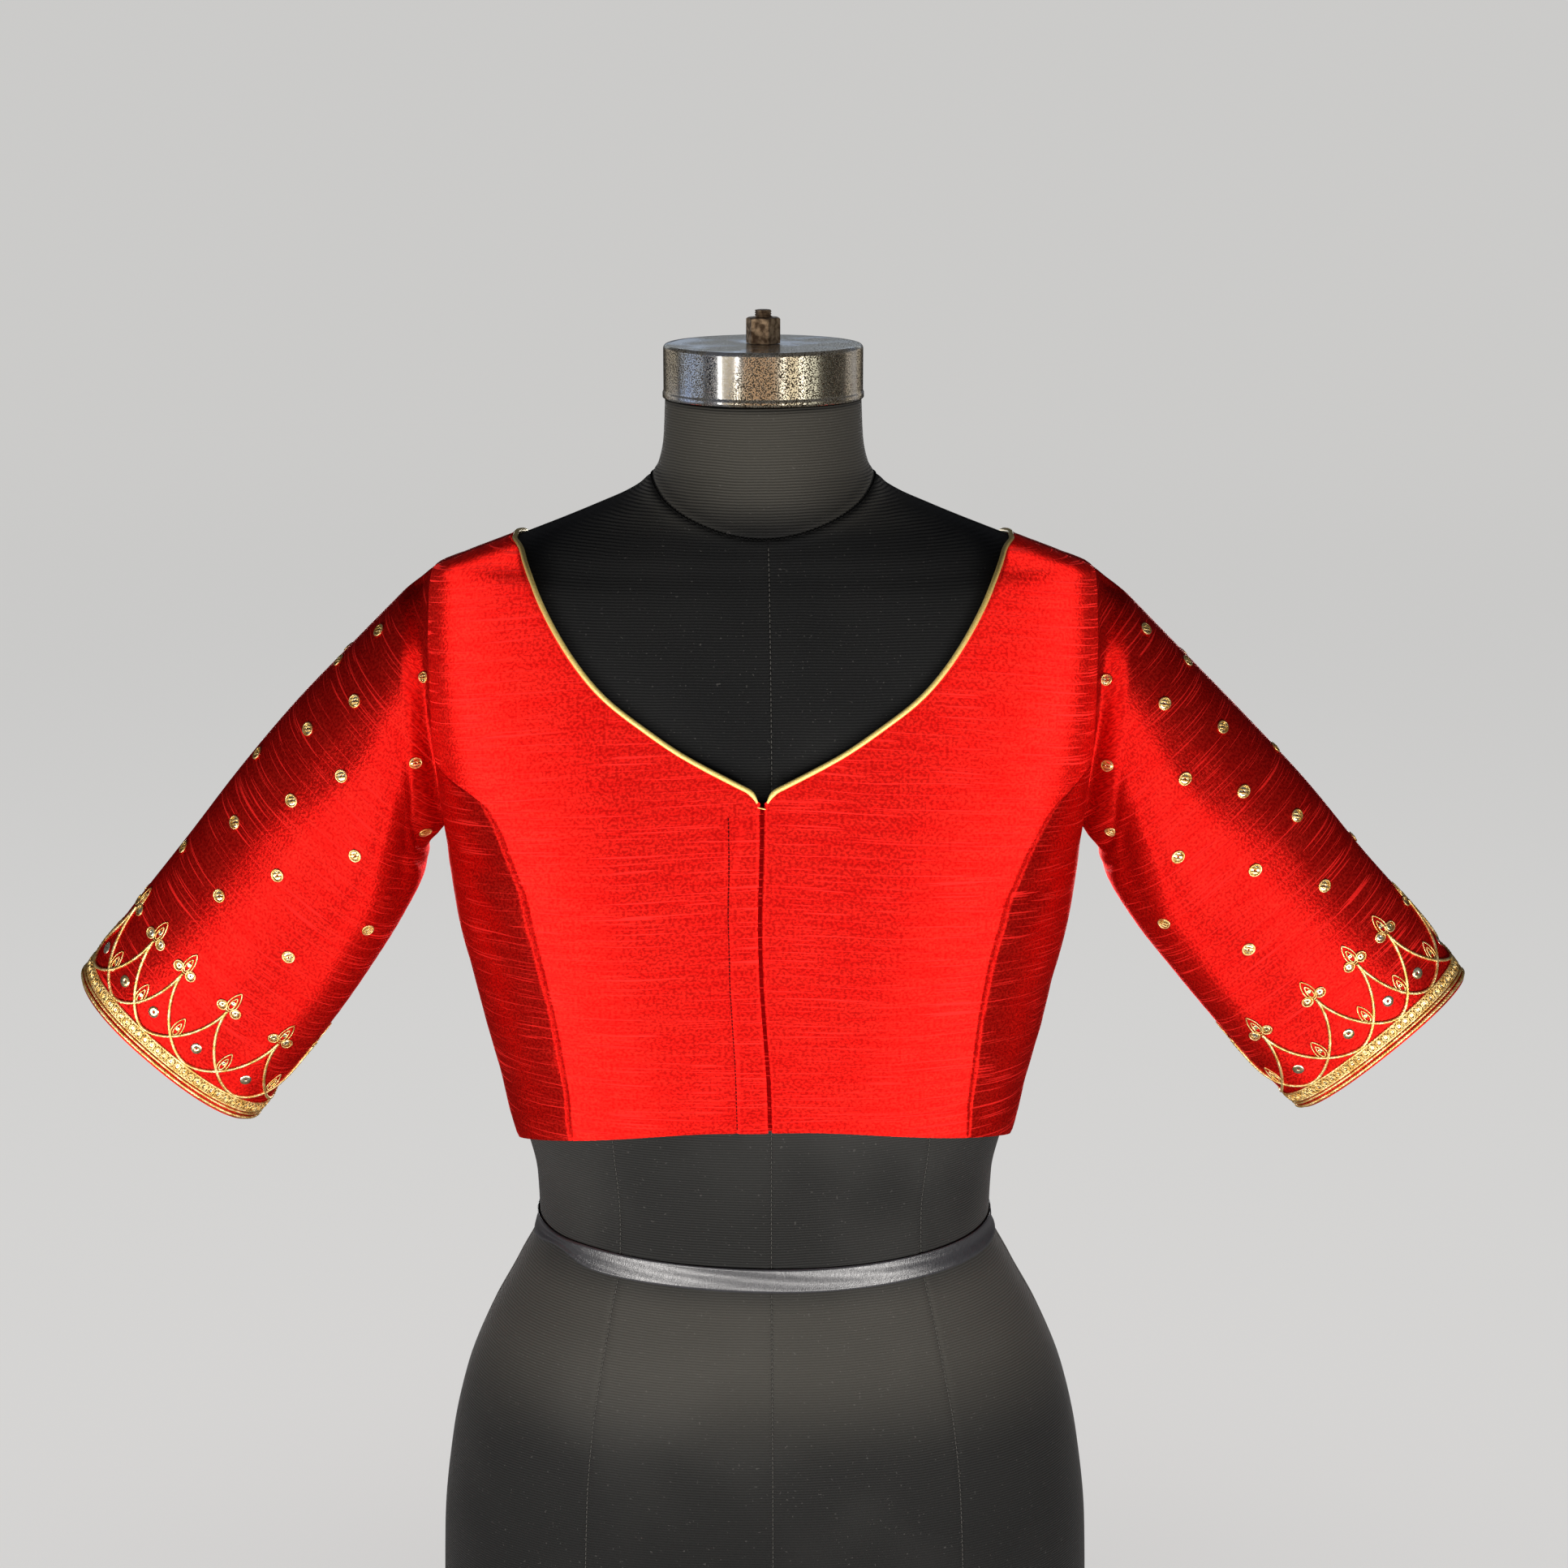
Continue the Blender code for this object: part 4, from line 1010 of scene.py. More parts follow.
def flat_sleeve(side):
    """The sleeve as a flat chart: at (height from the hem, share of the way round from the upper
    fold), the cloth's point and normal.  Each ring is walked round to even shares, then each
    column is walked up from the hem to even heights."""
    rings = np.concatenate([TABLE_STARTS * np.linspace(0, 1, 16)[:-1],
                            np.linspace(TABLE_STARTS, 1.0, 110)])
    turns = np.linspace(-math.pi, math.pi, CHART_SHARES)
    points, normals = folded_sleeve(side, rings, turns)
    walked = lengths(points, 1)
    upper = CHART_SHARES // 2
    walked = (walked - walked[:, upper:upper + 1]) / walked[:, -1:]
    shares = np.linspace(-0.5, 0.5, CHART_SHARES)
    even = np.array([np.stack([np.interp(shares, row, line[:, axis]) for axis in range(6)], -1)
                     for row, line in zip(walked, np.concatenate([points, normals], -1))])
    up = lengths(even[::-1, :, :3], 0)
    heights = np.linspace(0, CHART_HEIGHT, CHART_ROWS)
    chart = np.array([np.stack([np.interp(heights, up[:, at], even[::-1, at, axis])
                                for axis in range(6)], -1) for at in range(CHART_SHARES)])
    return {"chart": chart.transpose(1, 0, 2), "hem_length": lengths(points, 1)[-1, -1]}


def on_sleeve(chart, share, height, lift):
    """Points and normals of the chart at shares of the way round and heights above the hem,
    lifted along the normal from the middle of the cloth."""
    share = np.mod(share + 0.5, 1.0) * (CHART_SHARES - 1)
    row = height / CHART_HEIGHT * (CHART_ROWS - 1)
    found = bilinear(chart["chart"], row, share)
    normals = unit(found[..., 3:])
    return found[..., :3] + normals * lift, normals


def tubes(paths, normals, radius, around, closed=False, plies=0, twist=0.0):
    """Profiles carried along paths: a ring of radius * (1 - plies' hollows) at each path point,
    in the plane of the path's side and its surface normal.  The plies turn with the distance
    walked, one turn for each length of twist.  Ends close with a fan of their own ring."""
    if closed:
        along = unit(np.roll(paths, -1, 1) - np.roll(paths, 1, 1))
    else:
        along = unit(np.gradient(paths, axis=1))
    side = unit(np.cross(along, normals))
    up = np.cross(side, along)
    turn = full_turn(around)
    walked = lengths(paths, 1)
    radius = np.broadcast_to(radius, walked.shape)[..., None]
    reach = radius * np.ones_like(turn)
    if plies:
        phase = 2 * math.pi * walked / twist
        reach = radius * (0.70 + 0.30 * np.abs(np.cos(0.5 * plies * (turn + phase[..., None]))))
    ring = (paths[:, :, None]
            + side[:, :, None] * (reach * np.cos(turn))[..., None]
            + up[:, :, None] * (reach * np.sin(turn))[..., None])
    count, steps = paths.shape[:2]
    index = closed_up(np.arange(count * steps * around).reshape(count, steps, around), 2)
    if closed:
        index = closed_up(index)
    faces = quads(index)[:, ::-1]
    if not closed:
        half = around // 2
        fan = np.arange(half - 1)
        ends = []
        for end, order in ((0, 1), (-1, -1)):
            loop = index[:, end, :-1]
            quad = np.stack([loop[:, fan], loop[:, fan + 1],
                             loop[:, around - 2 - fan], loop[:, around - 1 - fan]], -1)
            ends.append(quad.reshape(-1, 4)[:, ::order])
        faces = np.concatenate([faces] + ends)
    return ring.reshape(-1, 3), faces


def join(parts):
    """One set of points and quads from several."""
    points, faces, count = [], [], 0
    for some_points, some_faces in parts:
        points.append(some_points.reshape(-1, 3))
        faces.append(some_faces + count)
        count += len(points[-1])
    return np.concatenate(points), np.concatenate(faces)


# Peaks of the arcs and scattered sequins, as shares of the way round from the upper fold
PEAKS = {
    1: (0.014, 0.112, 0.187, 0.280, 0.396),
    -1: (0.041, 0.118, 0.192, 0.290, 0.396),
}
# Scattered sequins: millimetres above the hem, and shares of the way round
SCATTERED = {
    1: [(101, 0.144), (101, -0.008), (102, 0.309), (135, 0.217), (140, 0.105), (142, 0.391),
        (170, 0.296), (170, 0.015), (172, 0.147), (200, 0.206), (201, 0.408), (204, 0.097),
        (233, 0.305), (237, 0.148), (240, 0.038), (269, 0.186), (270, 0.065)],
    -1: [(98, 0.038), (102, 0.160), (102, 0.311), (134, 0.216), (136, 0.105), (139, 0.395),
         (166, 0.042), (170, 0.160), (172, 0.298), (200, 0.199), (202, 0.102), (202, 0.434),
         (233, 0.299), (233, 0.133), (233, 0.032), (264, 0.063), (271, 0.187)],
}


def peak_shares(side):
    """All the peaks round a cuff: the front's, one on the underarm seam, and the front's
    mirrored on the back."""
    front = np.array(PEAKS[side])
    behind = 0.0 - front[::-1]
    behind[-1] = front[0] - 0.082
    return np.concatenate([behind, front, [0.5]])


def arc_paths(chart, side, lift):
    """Each arc hangs from a peak to the next but one: height = low + (high - low) *
    (1 - (1 - |t|^k)^(1/k)) for t from -1 to 1."""
    peaks = np.sort(peak_shares(side))
    extended = np.concatenate([peaks, peaks[:2] + 1])
    t = np.sin(np.linspace(-0.5 * math.pi, 0.5 * math.pi, 150))
    climb = 1 - (1 - np.abs(t) ** ARC_POWER) ** (1 / ARC_POWER)
    height = ARC_LOW + (ARC_HIGH - ARC_LOW) * climb
    start, middle, end = extended[:-2], extended[1:-1], extended[2:]
    share = np.where(t < 0, middle[:, None] + (middle - start)[:, None] * t,
                     middle[:, None] + (end - middle)[:, None] * t)
    swing = 0.12 * MM * np.sin(31 * share + 5)
    return on_sleeve(chart, share, np.broadcast_to(height, share.shape) + swing, lift)


def ring_path(chart, height, count, lift):
    """A closed line round the cuff at one height above the hem."""
    share = np.linspace(-0.5, 0.5, count, endpoint=False)[None, :]
    return on_sleeve(chart, share, np.full_like(share, height), lift)


def leaf_paths(chart, share, height, length, width, lift):
    """Outline of a pointed leaf standing up from its base: x = width / 2 * sin(turn) *
    sin(turn / 2)^0.6, y = length * (1 + cos(turn)) / 2."""
    turn = np.linspace(0, 2 * math.pi, 34)
    x = 0.5 * width * np.sin(turn) * np.abs(np.sin(0.5 * turn)) ** 0.6 * 1.25
    y = 0.5 * length * (1 + np.cos(turn))
    around = x / chart["hem_length"]
    return on_sleeve(chart, share[:, None] + around, height[:, None] + y, lift)


def circle_paths(chart, share, height, radius, lift, steps=14):
    """Closed rings of thread at places on the sleeve."""
    turn = full_turn(steps)
    around = radius * np.cos(turn) / chart["hem_length"]
    return on_sleeve(chart, share[:, None] + around, height[:, None] + radius * np.sin(turn), lift)


def local_scale(chart, share, height):
    """How wide the sleeve is at a height, against its hem, so that motifs keep their width."""
    step = 0.004
    ends = [on_sleeve(chart, share + way * step, height, 0.0)[0] for way in (-1, 1)]
    return np.linalg.norm(ends[1] - ends[0], axis=-1) / (2 * step * chart["hem_length"])


DISC_HOLE = 0.16            # of the radius
DISC_DISH = 0.12
DISC_THICKNESS = 0.16 * MM


def discs(chart, share, height, radius, lift, steps=16):
    """Sequins: a dished ring of three circles round a small hole, radius * (hole, 0.5, 1), the
    middle one lowest, on the cloth."""
    turn = full_turn(steps)
    shares = np.array([DISC_HOLE, 0.5, 1.0])
    drop = np.array([0.0, -DISC_DISH, 0.0]) * radius
    scale = local_scale(chart, share, height)
    across = (radius * shares[None, :, None] * np.cos(turn)) / chart["hem_length"]
    upward = radius * shares[None, :, None] * np.sin(turn)
    points = on_sleeve(chart, share[:, None, None] + across / scale[:, None, None],
                       height[:, None, None] + upward, lift)[0]
    normal = on_sleeve(chart, share, height, lift)[1]
    points = points + normal[:, None, None] * drop[None, :, None, None]
    under = points - normal[:, None, None] * DISC_THICKNESS
    layers = np.concatenate([points, under[:, ::-1]], 1)
    count, rings = layers.shape[:2]
    index = closed_up(np.arange(count * rings * steps).reshape(count, rings, steps), 2)
    return layers.reshape(-1, 3), quads(closed_up(index))[:, ::-1]


LIFT_ON_CLOTH = 0.5 * CLOTH
BUD_RADIUS = 2.7 * MM
BUD_APART = 0.0135              # share of the way round, to each side of a peak
LEAF_LENGTH = 13.0 * MM
LEAF_WIDTH = 5.0 * MM
ARC_TWIST = 4.4 * MM            # length of one turn of a cord's two plies
RING_TWIST = 3.8 * MM
THREAD_TWIST = 2.4 * MM


def gold_work(side, chart, thread, sequin):
    """All the gold on one sleeve, in two pieces: threads and cords, and sequins."""
    lift = LIFT_ON_CLOTH + 0.75 * CORD_RADIUS
    fine = LIFT_ON_CLOTH + 0.75 * THREAD_RADIUS
    peaks = np.sort(peak_shares(side))
    middles = 0.5 * (peaks + np.append(peaks[1:], peaks[0] + 1))
    parts = [tubes(*arc_paths(chart, side, lift), CORD_RADIUS, 8, plies=2, twist=ARC_TWIST)]
    for height, radius in ((HEM_TO_FIRST_CORD, CORD_RADIUS), (HEM_TO_SECOND_CORD, 0.75 * MM),
                           (BAND_LOW + 0.9 * MM, 0.7 * MM), (BAND_HIGH, 0.7 * MM)):
        path = ring_path(chart, height, 760, LIFT_ON_CLOTH + 0.8 * radius)
        parts.append(tubes(*path, radius, 8, closed=True, plies=2, twist=RING_TWIST))
    parts += band_threads(chart)
    buds = np.concatenate([peaks - BUD_APART, peaks + BUD_APART])
    bud_height = np.full(len(buds), ARC_HIGH + 1.6 * MM)
    base_height = np.full(len(middles), BASE_NODE)
    leaf_share = np.concatenate([peaks, middles + 0.002])
    leaf_height = np.concatenate([np.full(len(peaks), ARC_HIGH + 0.6 * MM), base_height + 1 * MM])
    for above, length, width, up in ((0.0, 1.0, 1.0, 0.2 * MM), (1.2 * MM, 0.62, 0.5, 0.1 * MM)):
        outline = leaf_paths(chart, leaf_share, leaf_height + above, length * LEAF_LENGTH,
                             width * LEAF_WIDTH, fine + up)
        parts.append(tubes(*outline, THREAD_RADIUS, 6, plies=2, twist=THREAD_TWIST))
    rings = circle_paths(chart, buds, bud_height, BUD_RADIUS, fine + 0.3 * MM)
    parts.append(tubes(*rings, THREAD_RADIUS, 6, closed=True))
    scattered = np.array(SCATTERED[side]) * (MM, 1)
    behind = scattered[np.abs(scattered[:, 1]) > 0.03] * (1, -1)
    spots = np.concatenate([scattered, behind])
    parts.append(spot_bars(chart, spots))
    name = SIDE_NAME[side]
    finished("gold_thread_" + name, *join(parts), thread, "gold_embroidery",
             ["sleeve_band_" + name])
    cells = np.concatenate([peaks, buds, spots[:, 1], leaf_share])
    cell_height = np.concatenate([np.full(len(peaks), CELL_SEQUIN), bud_height, spots[:, 0],
                                  leaf_height + 0.40 * LEAF_LENGTH])
    radii = np.repeat([SEQUIN_RADIUS, 2.1 * MM, SEQUIN_RADIUS, 1.25 * MM],
                      [len(peaks), len(buds), len(spots), len(leaf_share)])
    made = []
    for size in np.unique(radii):
        chosen = radii == size
        made.append(discs(chart, cells[chosen], cell_height[chosen], size,
                          LIFT_ON_CLOTH + 0.45 * MM))
    count = band_count(chart)
    band_share = (np.arange(count) + 0.5) / count - 0.5
    made.append(discs(chart, band_share, np.full(count, BAND_MIDDLE), 1.3 * MM,
                      LIFT_ON_CLOTH + 0.95 * MM, steps=10))
    finished("sequins_" + name, *join(made), sequin, "gold_embroidery")


BAND_MIDDLE = 0.5 * (BAND_LOW + BAND_HIGH) + 0.4 * MM
BAND_PITCH = 4.5 * MM


def band_count(chart):
    """How many rings fit round the band."""
    return int(round(chart["hem_length"] / BAND_PITCH))


def band_threads(chart):
    """Filling of the band: a row of thread rings, and two zigzags that cross over them, each
    height = middle +- reach * cos(turn)."""
    count = band_count(chart)
    share = (np.arange(count) + 0.5) / count - 0.5
    lift = LIFT_ON_CLOTH + 0.9 * MM
    rings = circle_paths(chart, share, np.full(count, BAND_MIDDLE), 1.85 * MM, lift + 0.25 * MM, 14)
    parts = [tubes(*rings, 0.42 * MM, 6, closed=True)]
    turn = np.linspace(0, 2 * math.pi * count, count * 12, endpoint=False)
    reach = 0.5 * (BAND_HIGH - BAND_LOW) - 0.9 * MM
    for sign in (1, -1):
        height = BAND_MIDDLE + sign * reach * np.cos(turn)
        around = turn / (2 * math.pi * count) - 0.5
        path = on_sleeve(chart, around[None, :], height[None, :], lift - 0.15 * MM * sign)
        parts.append(tubes(*path, 0.34 * MM, 5, closed=True))
    return parts


def spot_bars(chart, spots):
    """Two slanting stitches of gold thread over each scattered sequin, and one round its edge."""
    share, height = spots[:, 1], spots[:, 0]
    t = np.linspace(-1, 1, 7)
    paths = []
    for offset in (-0.8 * MM, 0.8 * MM):
        across = (0.45 * t * SEQUIN_RADIUS + offset) / chart["hem_length"]
        upward = 0.62 * t * SEQUIN_RADIUS - 0.4 * offset
        lift = LIFT_ON_CLOTH + 0.75 * MM * (1 - t ** 6) + 0.1 * MM
        paths.append(on_sleeve(chart, share[:, None] + across, height[:, None] + upward,
                               lift[None, :, None]))
    both = [np.concatenate([path[at] for path in paths]) for at in (0, 1)]
    edge = circle_paths(chart, share, height, 0.96 * SEQUIN_RADIUS, LIFT_ON_CLOTH + 0.45 * MM, 16)
    return join([tubes(*both, THREAD_RADIUS, 5), tubes(*edge, 0.5 * MM, 5, closed=True)])


def finished(name, points, faces, finish, slot, nodes=()):
    """A closed mesh with its faces set outward, as a piece."""
    mesh = make_mesh(name, points, faces)
    merge(mesh)
    return piece(name, mesh, finish, nodes)


def band_base(side, chart, finish):
    """The gold ground of the border: a strip of cloth round the cuff, standing proud of it."""
    share = np.linspace(-0.5, 0.5, 301)[:-1]
    heights = np.linspace(BAND_LOW + 0.3 * MM, BAND_HIGH, 7)
    points = on_sleeve(chart, *np.meshgrid(share, heights), LIFT_ON_CLOTH + 0.45 * MM)[0]
    made = cloth_sheet("gold_ground_" + SIDE_NAME[side], points, ring_weave(points), finish,
                       thickness=0.7 * MM, closed=True)


# Front strip, piping, form, cap and ribbon

def placket(finish):
    """The straight strip behind the front edges."""
    low = hem_height(-0.5 * math.pi, 1) + PLACKET_HEM_RISE
    height = np.linspace(low, NECK_POINT - PLACKET_DROP, 90)[:, None]
    across = np.linspace(PLACKET_START, PLACKET_START + PLACKET_WIDTH, 9)[None, :]
    angle = closure_angle(1, height, across)
    height = height + 0 * angle
    points = cloth_point(angle, height, -(PLACKET_ROOM + 0.5 * PLACKET_THICKNESS))
    weave = body_weave(angle, height, False) + (0.3, 0.1)
    made = cloth_sheet("silk_underlap", points, weave, finish, ["under_placket"],
                       PLACKET_THICKNESS)


def resampled(line, count):
    """A line drawn again with evenly spaced points."""
    walked = lengths(line, 0)
    even = np.linspace(0, walked[-1], count)
    return np.stack([np.interp(even, walked, line[:, axis]) for axis in range(3)], -1)


def softened(line, reach):
    """A line whose points, away from its ends, are the mean of their neighbours on both sides."""
    width = 2 * reach + 1
    padded = np.pad(line, ((reach, reach), (0, 0)), "edge")
    mean = np.stack([np.convolve(padded[:, axis], np.ones(width) / width, "valid")
                     for axis in range(3)], -1)
    at = np.arange(len(line))
    share = smooth_step(reach, 3 * reach, np.minimum(at, at[::-1]))[:, None]
    return line * (1 - share) + mean * share


PIPING_END_DROP = 3.2 * MM
PIPING_END_INWARD = 1.6 * MM
PIPING_END_REACH = 8.0 * MM
PIPING_TAPER = 6.0 * MM
PIPING_SHOWN = 1.4 * MM


def piping(finish):
    """Piping cord round the neckline: a round profile along the neck edge, whose two ends turn
    down into the front opening."""
    lift = 0.5 * WALL + PIPING_LIFT
    half = np.concatenate([cloth_point(*front_neckline(160), lift),
                           cloth_point(*back_neckline(120), lift)[::-1][1:]])
    half = softened(resampled(half, 300), 6)
    near = np.clip(1 - lengths(half, 0) / PIPING_END_REACH, 0, 1) ** 2
    half[:, 2] -= PIPING_END_DROP * near
    half[:, 0] += PIPING_END_INWARD * near
    line = np.concatenate([half[:-1], (half * (-1, 1, 1))[::-1]])[None]
    outward = unit(line * (1.0, 1.0, 0.0) + np.array([0, 0, 0.02]))
    number = np.arange(line.shape[1])
    ends = np.minimum(number, number[::-1]) * np.linalg.norm(half[1] - half[0])
    radius = PIPING_SHOWN * (0.45 + 0.55 * smooth_step(0, PIPING_TAPER, ends))[None]
    finished("gold_piping", *tubes(line, outward, radius, 14), finish, "gold_piping",
             ["neck_piping"])


def hook_thread(finish):
    """The small loop of thread at the top of the closure, seen in the opening."""
    t = np.linspace(0, 1, 12)
    x = (-2.6 + 4.4 * t) * MM
    z = (NECK_POINT - 5.0 * MM) - 1.0 * MM * t
    angle = -0.5 * math.pi + x / form_size("front", z)
    line = cloth_point(angle, z, 0.3 * MM + 0.9 * MM * np.sin(math.pi * t))[None]
    finished("hook_loop", *tubes(line, unit(line * (1, 1, 0)), 0.35 * MM, 8), finish,
             "gold_piping")


# Upright seams of the form, in degrees round it.  The slanted ones are drawn up to a height from
# which they run on to the shoulders, out of sight under the silk.
FORM_SEAMS = (-180.0, -135.3, -87.4, -40.2, 0.0, 40.0, 90.0, 138.0)
SLANTED_SEAMS = (-135.3, -40.2, 40.0, 138.0)
SLANTED_TOP = 495.0 * MM
FORM_SEAM_COLUMNS = 24
NECK_SEAM = {"front": 674.4 * MM, "side": 700.4 * MM, "back": 704.0 * MM}
FORM_GROOVE = 0.55 * MM
FORM_GROOVE_WIDTH = 0.9 * MM
FORM_SWELL = 0.25 * MM          # the cloth stands up a little beside each seam
FORM_SWELL_AT = 3.0 * MM
FORM_SWELL_WIDTH = 1.6 * MM
FORM_UPPER_ROWS_START = 600 * MM
FORM_EXTRA_ROWS = (0.3425, 0.3475)      # where the form starts to draw in under the blouse
FORM_TOP = 740.4 * MM
LINE_POINTS = 500


def neck_seam_height(angle):
    """Height of the seam round the foot of the neck: the side's height towards the front's or
    the back's with sin^2 of the angle."""
    sine = np.sin(angle)
    end = np.where(sine < 0, NECK_SEAM["front"], NECK_SEAM["back"])
    return NECK_SEAM["side"] + (end - NECK_SEAM["side"]) * sine ** 2


def crowded(count, both=True):
    """Shares from 0 to 1, closer together at both ends, (1 - cos(pi t)) / 2, or at the last one
    only, sin(pi t / 2)."""
    t = np.linspace(0, 1, count)
    return 0.5 * (1 - np.cos(math.pi * t)) if both else np.sin(0.5 * math.pi * t)


def groove_profile(away):
    """A sewn groove, -depth * exp(-(away / width)^2), with a low swell beside it."""
    swell = np.exp(-((away - FORM_SWELL_AT) / FORM_SWELL_WIDTH) ** 2)
    return -FORM_GROOVE * np.exp(-(away / FORM_GROOVE_WIDTH) ** 2) + FORM_SWELL * swell


def form_body(finish):
    """The dress form: its solid's surface on a grid whose columns and rows crowd at its seams,
    with a groove of depth * exp(-(distance / width)^2) along each of them."""
    seams = np.radians(FORM_SEAMS + (180.0,))
    share = crowded(FORM_SEAM_COLUMNS + 1)[:-1]
    angle = np.concatenate([here + (there - here) * share
                            for here, there in zip(seams[:-1], seams[1:])])
    neck = neck_seam_height(angle)[None, :]
    start = FORM_UPPER_ROWS_START
    low = np.concatenate([np.linspace(0, 0.006, 4)[:-1], np.linspace(0.006, start, 110)])
    low = np.sort(np.append(low, FORM_EXTRA_ROWS))
    height = np.concatenate([
        np.repeat(low[:, None], len(angle), 1),
        start + (neck - start) * crowded(44, False)[1:, None],
        neck + (FORM_TOP - neck) * (1 - crowded(26, False)[::-1])[1:, None]])
    grid_angle = np.repeat(angle[None, :], len(height), 0)
    points = form_solid_point(grid_angle, height)
    radius = np.linalg.norm(points[..., :2], axis=-1)
    hidden = 9.0 * smooth_step(SLANTED_TOP, SLANTED_TOP + 8 * MM, height)
    nearest = np.min([np.abs(np.angle(np.exp(1j * (grid_angle - math.radians(seam)))))
                      + hidden * (seam in SLANTED_SEAMS) for seam in FORM_SEAMS], 0)
    away = nearest * radius
    below_neck = 1 - smooth_step(-1 * MM, 1 * MM, height - neck)
    depth = groove_profile(away) * below_neck + groove_profile(np.abs(height - neck))
    depth *= smooth_step(0.0, 0.01, height) * (1 - smooth_step(0.733, FORM_TOP, height))
    points = points + form_normal(grid_angle, height) * depth[..., None]
    middle = np.array([0.0, NECK_CENTRE_Y, 0.0])
    inner = (0.0, 0.5, 0.9)                 # rings of the flat bottom and top
    bottom = [points[:1] * (scale, scale, 1) for scale in inner]
    top = [middle + (points[-1:] - middle) * (scale, scale, 1) for scale in inner[::-1]]
    points = np.concatenate(bottom + [points] + top)
    finished("form_body", points, grid_faces(*points.shape[:2], closed=True), finish,
             "form_jersey", ["form_torso"])


STITCH_PITCH = 2.7 * MM
STITCH = 1.9 * MM


def stitches(line, normals, pitch, length, radius):
    """A row of small stitches along a line: each dips into the cloth at both ends, height =
    radius * (1 - 2 t^4)."""
    walked = lengths(line, 0)
    starts = np.arange(0, walked[-1] - length, pitch)
    t = np.linspace(0, 1, 5)
    at = starts[:, None] + length * t
    places = np.stack([np.interp(at, walked, line[:, axis]) for axis in range(3)], -1)
    outward = unit(np.stack([np.interp(at, walked, normals[:, axis]) for axis in range(3)], -1))
    rise = radius * (1 - 2 * (2 * t - 1) ** 4)
    return tubes(places + outward * rise[None, :, None], outward, radius, 5)


def sunk_stitches(angle, height, sunk, pitch, length, radius):
    """Stitches along a line on the form, sunk a little into its surface."""
    normals = form_normal(angle, height)
    line = form_solid_point(angle, height) - normals * sunk
    return stitches(line, normals, pitch, length, radius)


def form_stitching(finish):
    """The form's own seams: a row of stitches along each upright seam."""
    parts = []
    for degrees in FORM_SEAMS:
        angle = np.full(LINE_POINTS, np.radians(degrees))
        top = neck_seam_height(angle[0]) - 1.5 * MM
        top = SLANTED_TOP if degrees in SLANTED_SEAMS else top
        height = np.linspace(12 * MM, top, LINE_POINTS)
        parts.append(sunk_stitches(angle, height, 0.35 * MM, STITCH_PITCH, STITCH, 0.26 * MM))
    finished("form_stitches", *join(parts), finish, "form_jersey")


def neck_stitching(finish):
    """Dark stitches round the foot of the neck."""
    angle = np.linspace(-math.pi, math.pi, 700)
    made = sunk_stitches(angle, neck_seam_height(angle), 0.30 * MM, 2.3 * MM, 1.8 * MM, 0.42 * MM)
    finished("neck_stitches", *made, finish, "form_jersey")


def turned(name, rings, around, finish, slot, nodes):
    """A turned solid: rings of one radius, or one for each turn, and a height each, round the
    neck's axis."""
    turn = full_turn(around)
    points = np.array([np.stack([radius * np.cos(turn), NECK_CENTRE_Y + radius * np.sin(turn),
                                 np.full_like(turn, height)], -1) for radius, height in rings])
    return finished(name, points, grid_faces(*points.shape[:2], closed=True), finish, slot, nodes)


def rounded(centre_radius, centre_height, radius, start, end, count=8):
    """Points of a quarter round on a turned profile."""
    turn = np.radians(np.linspace(start, end, count))
    return [(centre_radius + radius * math.cos(t), centre_height + radius * math.sin(t))
            for t in turn]


def neck_cap(finish):
    """Plated cap: a flat top with a rolled corner, a straight wall and a small proud lip."""
    corner = rounded(CAP_RADIUS - CAP_CORNER, CAP_TOP - CAP_CORNER, CAP_CORNER, 90, 0)
    lip_top = CAP_BOTTOM + CAP_LIP_HEIGHT
    lip = [(CAP_RADIUS, lip_top + 0.4 * MM), (CAP_RADIUS + 0.15 * MM, lip_top),
           (CAP_RADIUS + CAP_LIP - 0.2 * MM, lip_top - 0.4 * MM),
           (CAP_RADIUS + CAP_LIP, lip_top - 0.8 * MM),
           (CAP_RADIUS + CAP_LIP, CAP_BOTTOM + 0.3 * MM),
           (CAP_RADIUS + CAP_LIP - 0.3 * MM, CAP_BOTTOM)]
    flat = [(0.0, CAP_TOP), (0.010, CAP_TOP), (0.030, CAP_TOP), (0.048, CAP_TOP)]
    straight = [(CAP_RADIUS, height) for height in
                np.linspace(CAP_TOP - CAP_CORNER - 0.3 * MM, lip_top + 1 * MM, 6)]
    rings = flat + corner + straight + lip + [(0.045, CAP_BOTTOM), (0.0, CAP_BOTTOM)]
    return turned("plated_cap", rings, 192, finish, "plated_cap", ["form_neck_cap"])


def hexagon_radius(turn, flats):
    """Distance from the middle to a hexagon's side: flats / 2 / cos(turn within its side)."""
    within = np.mod(turn, math.pi / 3) - math.pi / 6
    return 0.5 * flats / np.cos(within)


